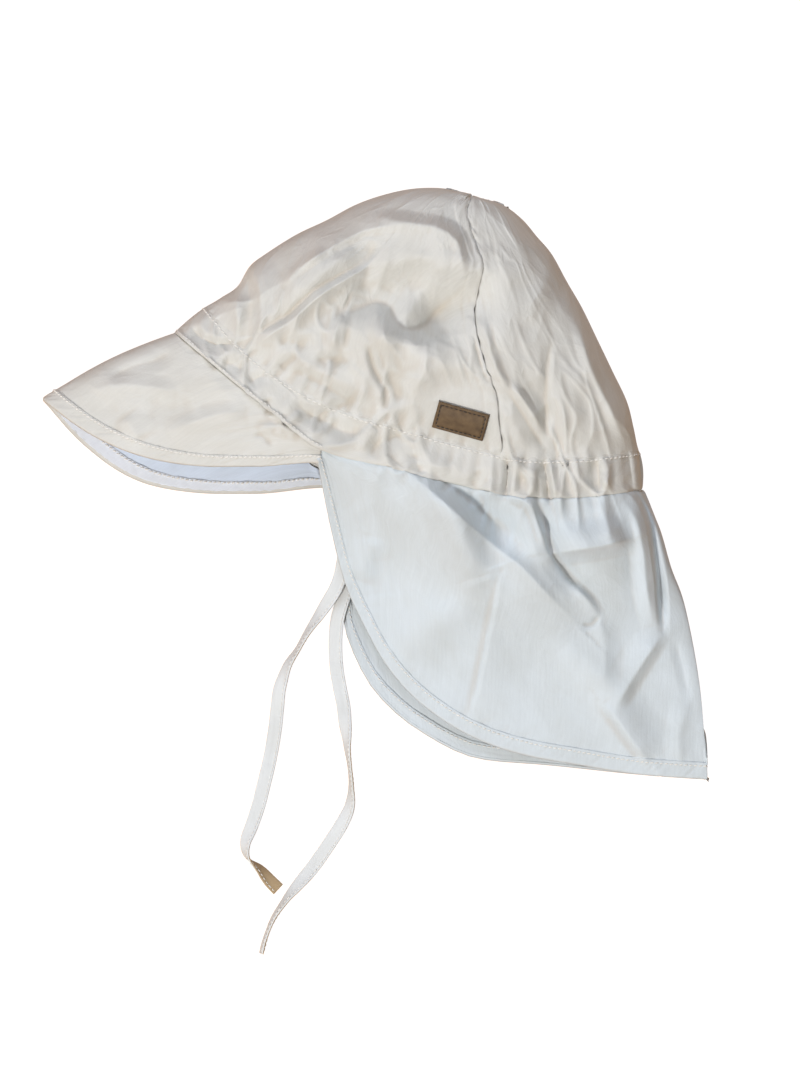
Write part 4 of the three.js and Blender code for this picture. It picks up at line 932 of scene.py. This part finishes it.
def row_on(faces, share, side=1, depth=0.0):
    """A row of places on a grid at a share of the way up its columns, with the outward directions."""
    faces = np.asarray(faces)
    out = np.cross(np.gradient(faces, axis=0), np.gradient(faces, axis=1))
    out = out / np.maximum(np.linalg.norm(out, axis=-1, keepdims=True), 1e-12)
    at = share * (faces.shape[1] - 1)
    j = int(at)
    f = at - j
    line = faces[:, j] * (1 - f) + faces[:, min(j + 1, faces.shape[1] - 1)] * f
    facing = out[:, j]
    return line - facing * depth, facing * side


upper_rows = row_on(casing_faces, 0.86)
stitches("casing_stitches", [(*upper_rows, 0.0026, 0.00034)], threads, 0.2)
lower = row_on(casing_faces, 0.12)
on_peak = share_of(turns) < PEAK_END
order = np.concatenate([np.where(on_peak & (turns > math.pi))[0], np.where(on_peak & (turns <= math.pi))[0]])
stitches("peak_seam_stitches", [(lower[0][order], lower[1][order], 0.0021, 0.00026)], threads)
hem_rows = [row_on(peak_edge / 1000, 0.86), row_on(peak_edge / 1000, 0.86, -1, 0.0025)]
stitches("peak_stitches", [(*row, 0.0021, 0.00042) for row in hem_rows], threads, 0.5)
hem_rows = [row_on(flap_edge / 1000, 0.82), row_on(flap_edge / 1000, 0.82, -1, 0.0015)]
stitches("flap_stitches", [(*row, 0.0022, 0.0003) for row in hem_rows], threads, 0.25)

# The patch: a small bare piece of smooth brown leather, stitched round its border to the side of the
# crown, a little above the casing. The leather is dull, with a fine grain of pores and mottled dye.
leather, tree, shader = finish("leather")
shader.inputs["Roughness"].default_value = 0.55
shader.inputs["Specular IOR Level"].default_value = 0.4
place = node(tree, "ShaderNodeTexCoord").outputs["Object"]
grain = node(tree, "ShaderNodeTexVoronoi", {"feature": "F1"}, Vector=place, Scale=2400.0)
mottle = node(tree, "ShaderNodeTexNoise", Vector=place, Scale=320.0, Detail=5.0)
ramp = node(tree, "ShaderNodeValToRGB", _0=mottle.outputs["Fac"])
ramp.color_ramp.elements[0].position, ramp.color_ramp.elements[0].color = 0.3, linear("#544029")
ramp.color_ramp.elements[1].position, ramp.color_ramp.elements[1].color = 0.7, linear("#6f583b")
tree.links.new(ramp.outputs["Color"], shader.inputs["Base Color"])
bump = node(tree, "ShaderNodeBump", Strength=0.3, Distance=0.00008, Height=grain.outputs["Distance"])
tree.links.new(bump.outputs["Normal"], shader.inputs["Normal"])

PATCH_SIZE, PATCH_TURN, PATCH_WALL, PATCH_GRID = (23.4, 11.8), -0.27, 1.3, (64, 36)


def on_crown(offsets):
    """The outer face of the crown at plan offsets from the patch's middle, in millimetres."""
    share, level = on_left_side(PATCH_MIDDLE + offsets)
    return skin(turn_of(share), level, False)


x, y = np.meshgrid(*(np.linspace(-0.5, 0.5, count) * size for count, size in zip(PATCH_GRID, PATCH_SIZE)),
                   indexing="ij")
cosine, sine = math.cos(PATCH_TURN), math.sin(PATCH_TURN)
below = on_crown(np.stack([x * cosine - y * sine, x * sine + y * cosine], -1))
to_edge = np.minimum(PATCH_SIZE[0] / 2 - np.abs(x), PATCH_SIZE[1] / 2 - np.abs(y))
BORDER = 1.5
lift = 0.35 + PATCH_WALL * (1 - 0.35 * np.exp(-(to_edge / 0.35) ** 2))
lift = lift - 0.25 * np.exp(-((to_edge - BORDER) / 0.35) ** 2)
patch_faces = raised(below, lift)
patch = cloth("patch_leather", patch_faces / 1000, PATCH_WALL / 1000, leather, "patch")
corners = np.array([(-1, -1), (1, -1), (1, 1), (-1, 1), (-1, -1)]) * (np.array(PATCH_SIZE) / 2 - BORDER)
rows = []
for start, end in zip(corners[:-1], corners[1:]):
    flat = start + (end - start) * np.linspace(0, 1, 30)[:, None]
    i, j = ((flat[:, k] / PATCH_SIZE[k] + 0.5) * (PATCH_GRID[k] - 1) for k in (0, 1))
    rows.append((patch_faces[i.round().astype(int), j.round().astype(int)] / 1000,
                 np.tile((-0.1, -0.4, 0.9), (30, 1)), 0.0021, 0.0003))
dark_thread = thread_material("brown_thread", "#2e2114")
stitches("patch_stitches", rows, stitch_tree("brown_threads", dark_thread))

# The floor is plain white paper. It glows for the camera alone, so that it stays white under the cap, and
# throws brown light back on the cap, as a wooden table would.
floor = in_scene("floor", bpy.data.meshes.new("floor"))
floor.data.from_pydata([(-3, -3, 0), (3, -3, 0), (3, 3, 0), (-3, 3, 0)], [], [(0, 1, 2, 3)])
paper, tree, shader = finish("lit_paper")
shader.inputs["Base Color"].default_value = linear("#b98d5e")
shader.inputs["Roughness"].default_value = 1.0
shader.inputs["Specular IOR Level"].default_value = 0.0
shader.inputs["Emission Color"].default_value = (0.9, 0.95, 1, 1)
seen = node(tree, "ShaderNodeLightPath").outputs["Is Camera Ray"]
glow = node(tree, "ShaderNodeMath", {"operation": "MULTIPLY"}, _0=seen, _1=1.0)
tree.links.new(glow.outputs["Value"], shader.inputs["Emission Strength"])
floor.data.materials.append(paper)


def area_light(name, place, aim, size, power, colour):
    lamp = in_scene(name, bpy.data.lights.new(name, "AREA"))
    lamp.data.energy, lamp.data.size, lamp.data.color = power, size, linear(colour)[:3]
    lamp.location = place
    lamp.rotation_euler = (Vector(aim) - Vector(place)).to_track_quat("-Z", "Y").to_euler()


area_light("key", (-0.87, -1.0, 1.89), (0, 0, 0), 0.25, 31, "#fffaf4")
area_light("fill", (-0.3, 1.7, 1.4), (0, 0, 0), 0.8, 16, "#dbe7ff")
world = bpy.data.worlds.new("room")
world.use_nodes = True
tree = world.node_tree
looking = node(tree, "ShaderNodeTexCoord").outputs["Generated"]
towards = node(tree, "ShaderNodeVectorMath", {"operation": "DOT_PRODUCT"}, _0=looking, _1=(-0.34, -0.56, 0.755))
bright = node(tree, "ShaderNodeMapRange", Value=towards.outputs["Value"], From_Min=-0.8, From_Max=0.95)
room = node(tree, "ShaderNodeValToRGB", _0=bright.outputs["Result"])
room.color_ramp.elements[0].color = linear("#7d6446")
room.color_ramp.elements[1].color = linear("#fbfcff")
middle_tone = room.color_ramp.elements.new(0.45)
middle_tone.color = linear("#d9d2c6")
tree.links.new(room.outputs["Color"], tree.nodes["Background"].inputs["Color"])
tree.nodes["Background"].inputs["Strength"].default_value = 0.5
bpy.context.scene.world = world
bpy.context.scene.view_settings.view_transform = "Standard"
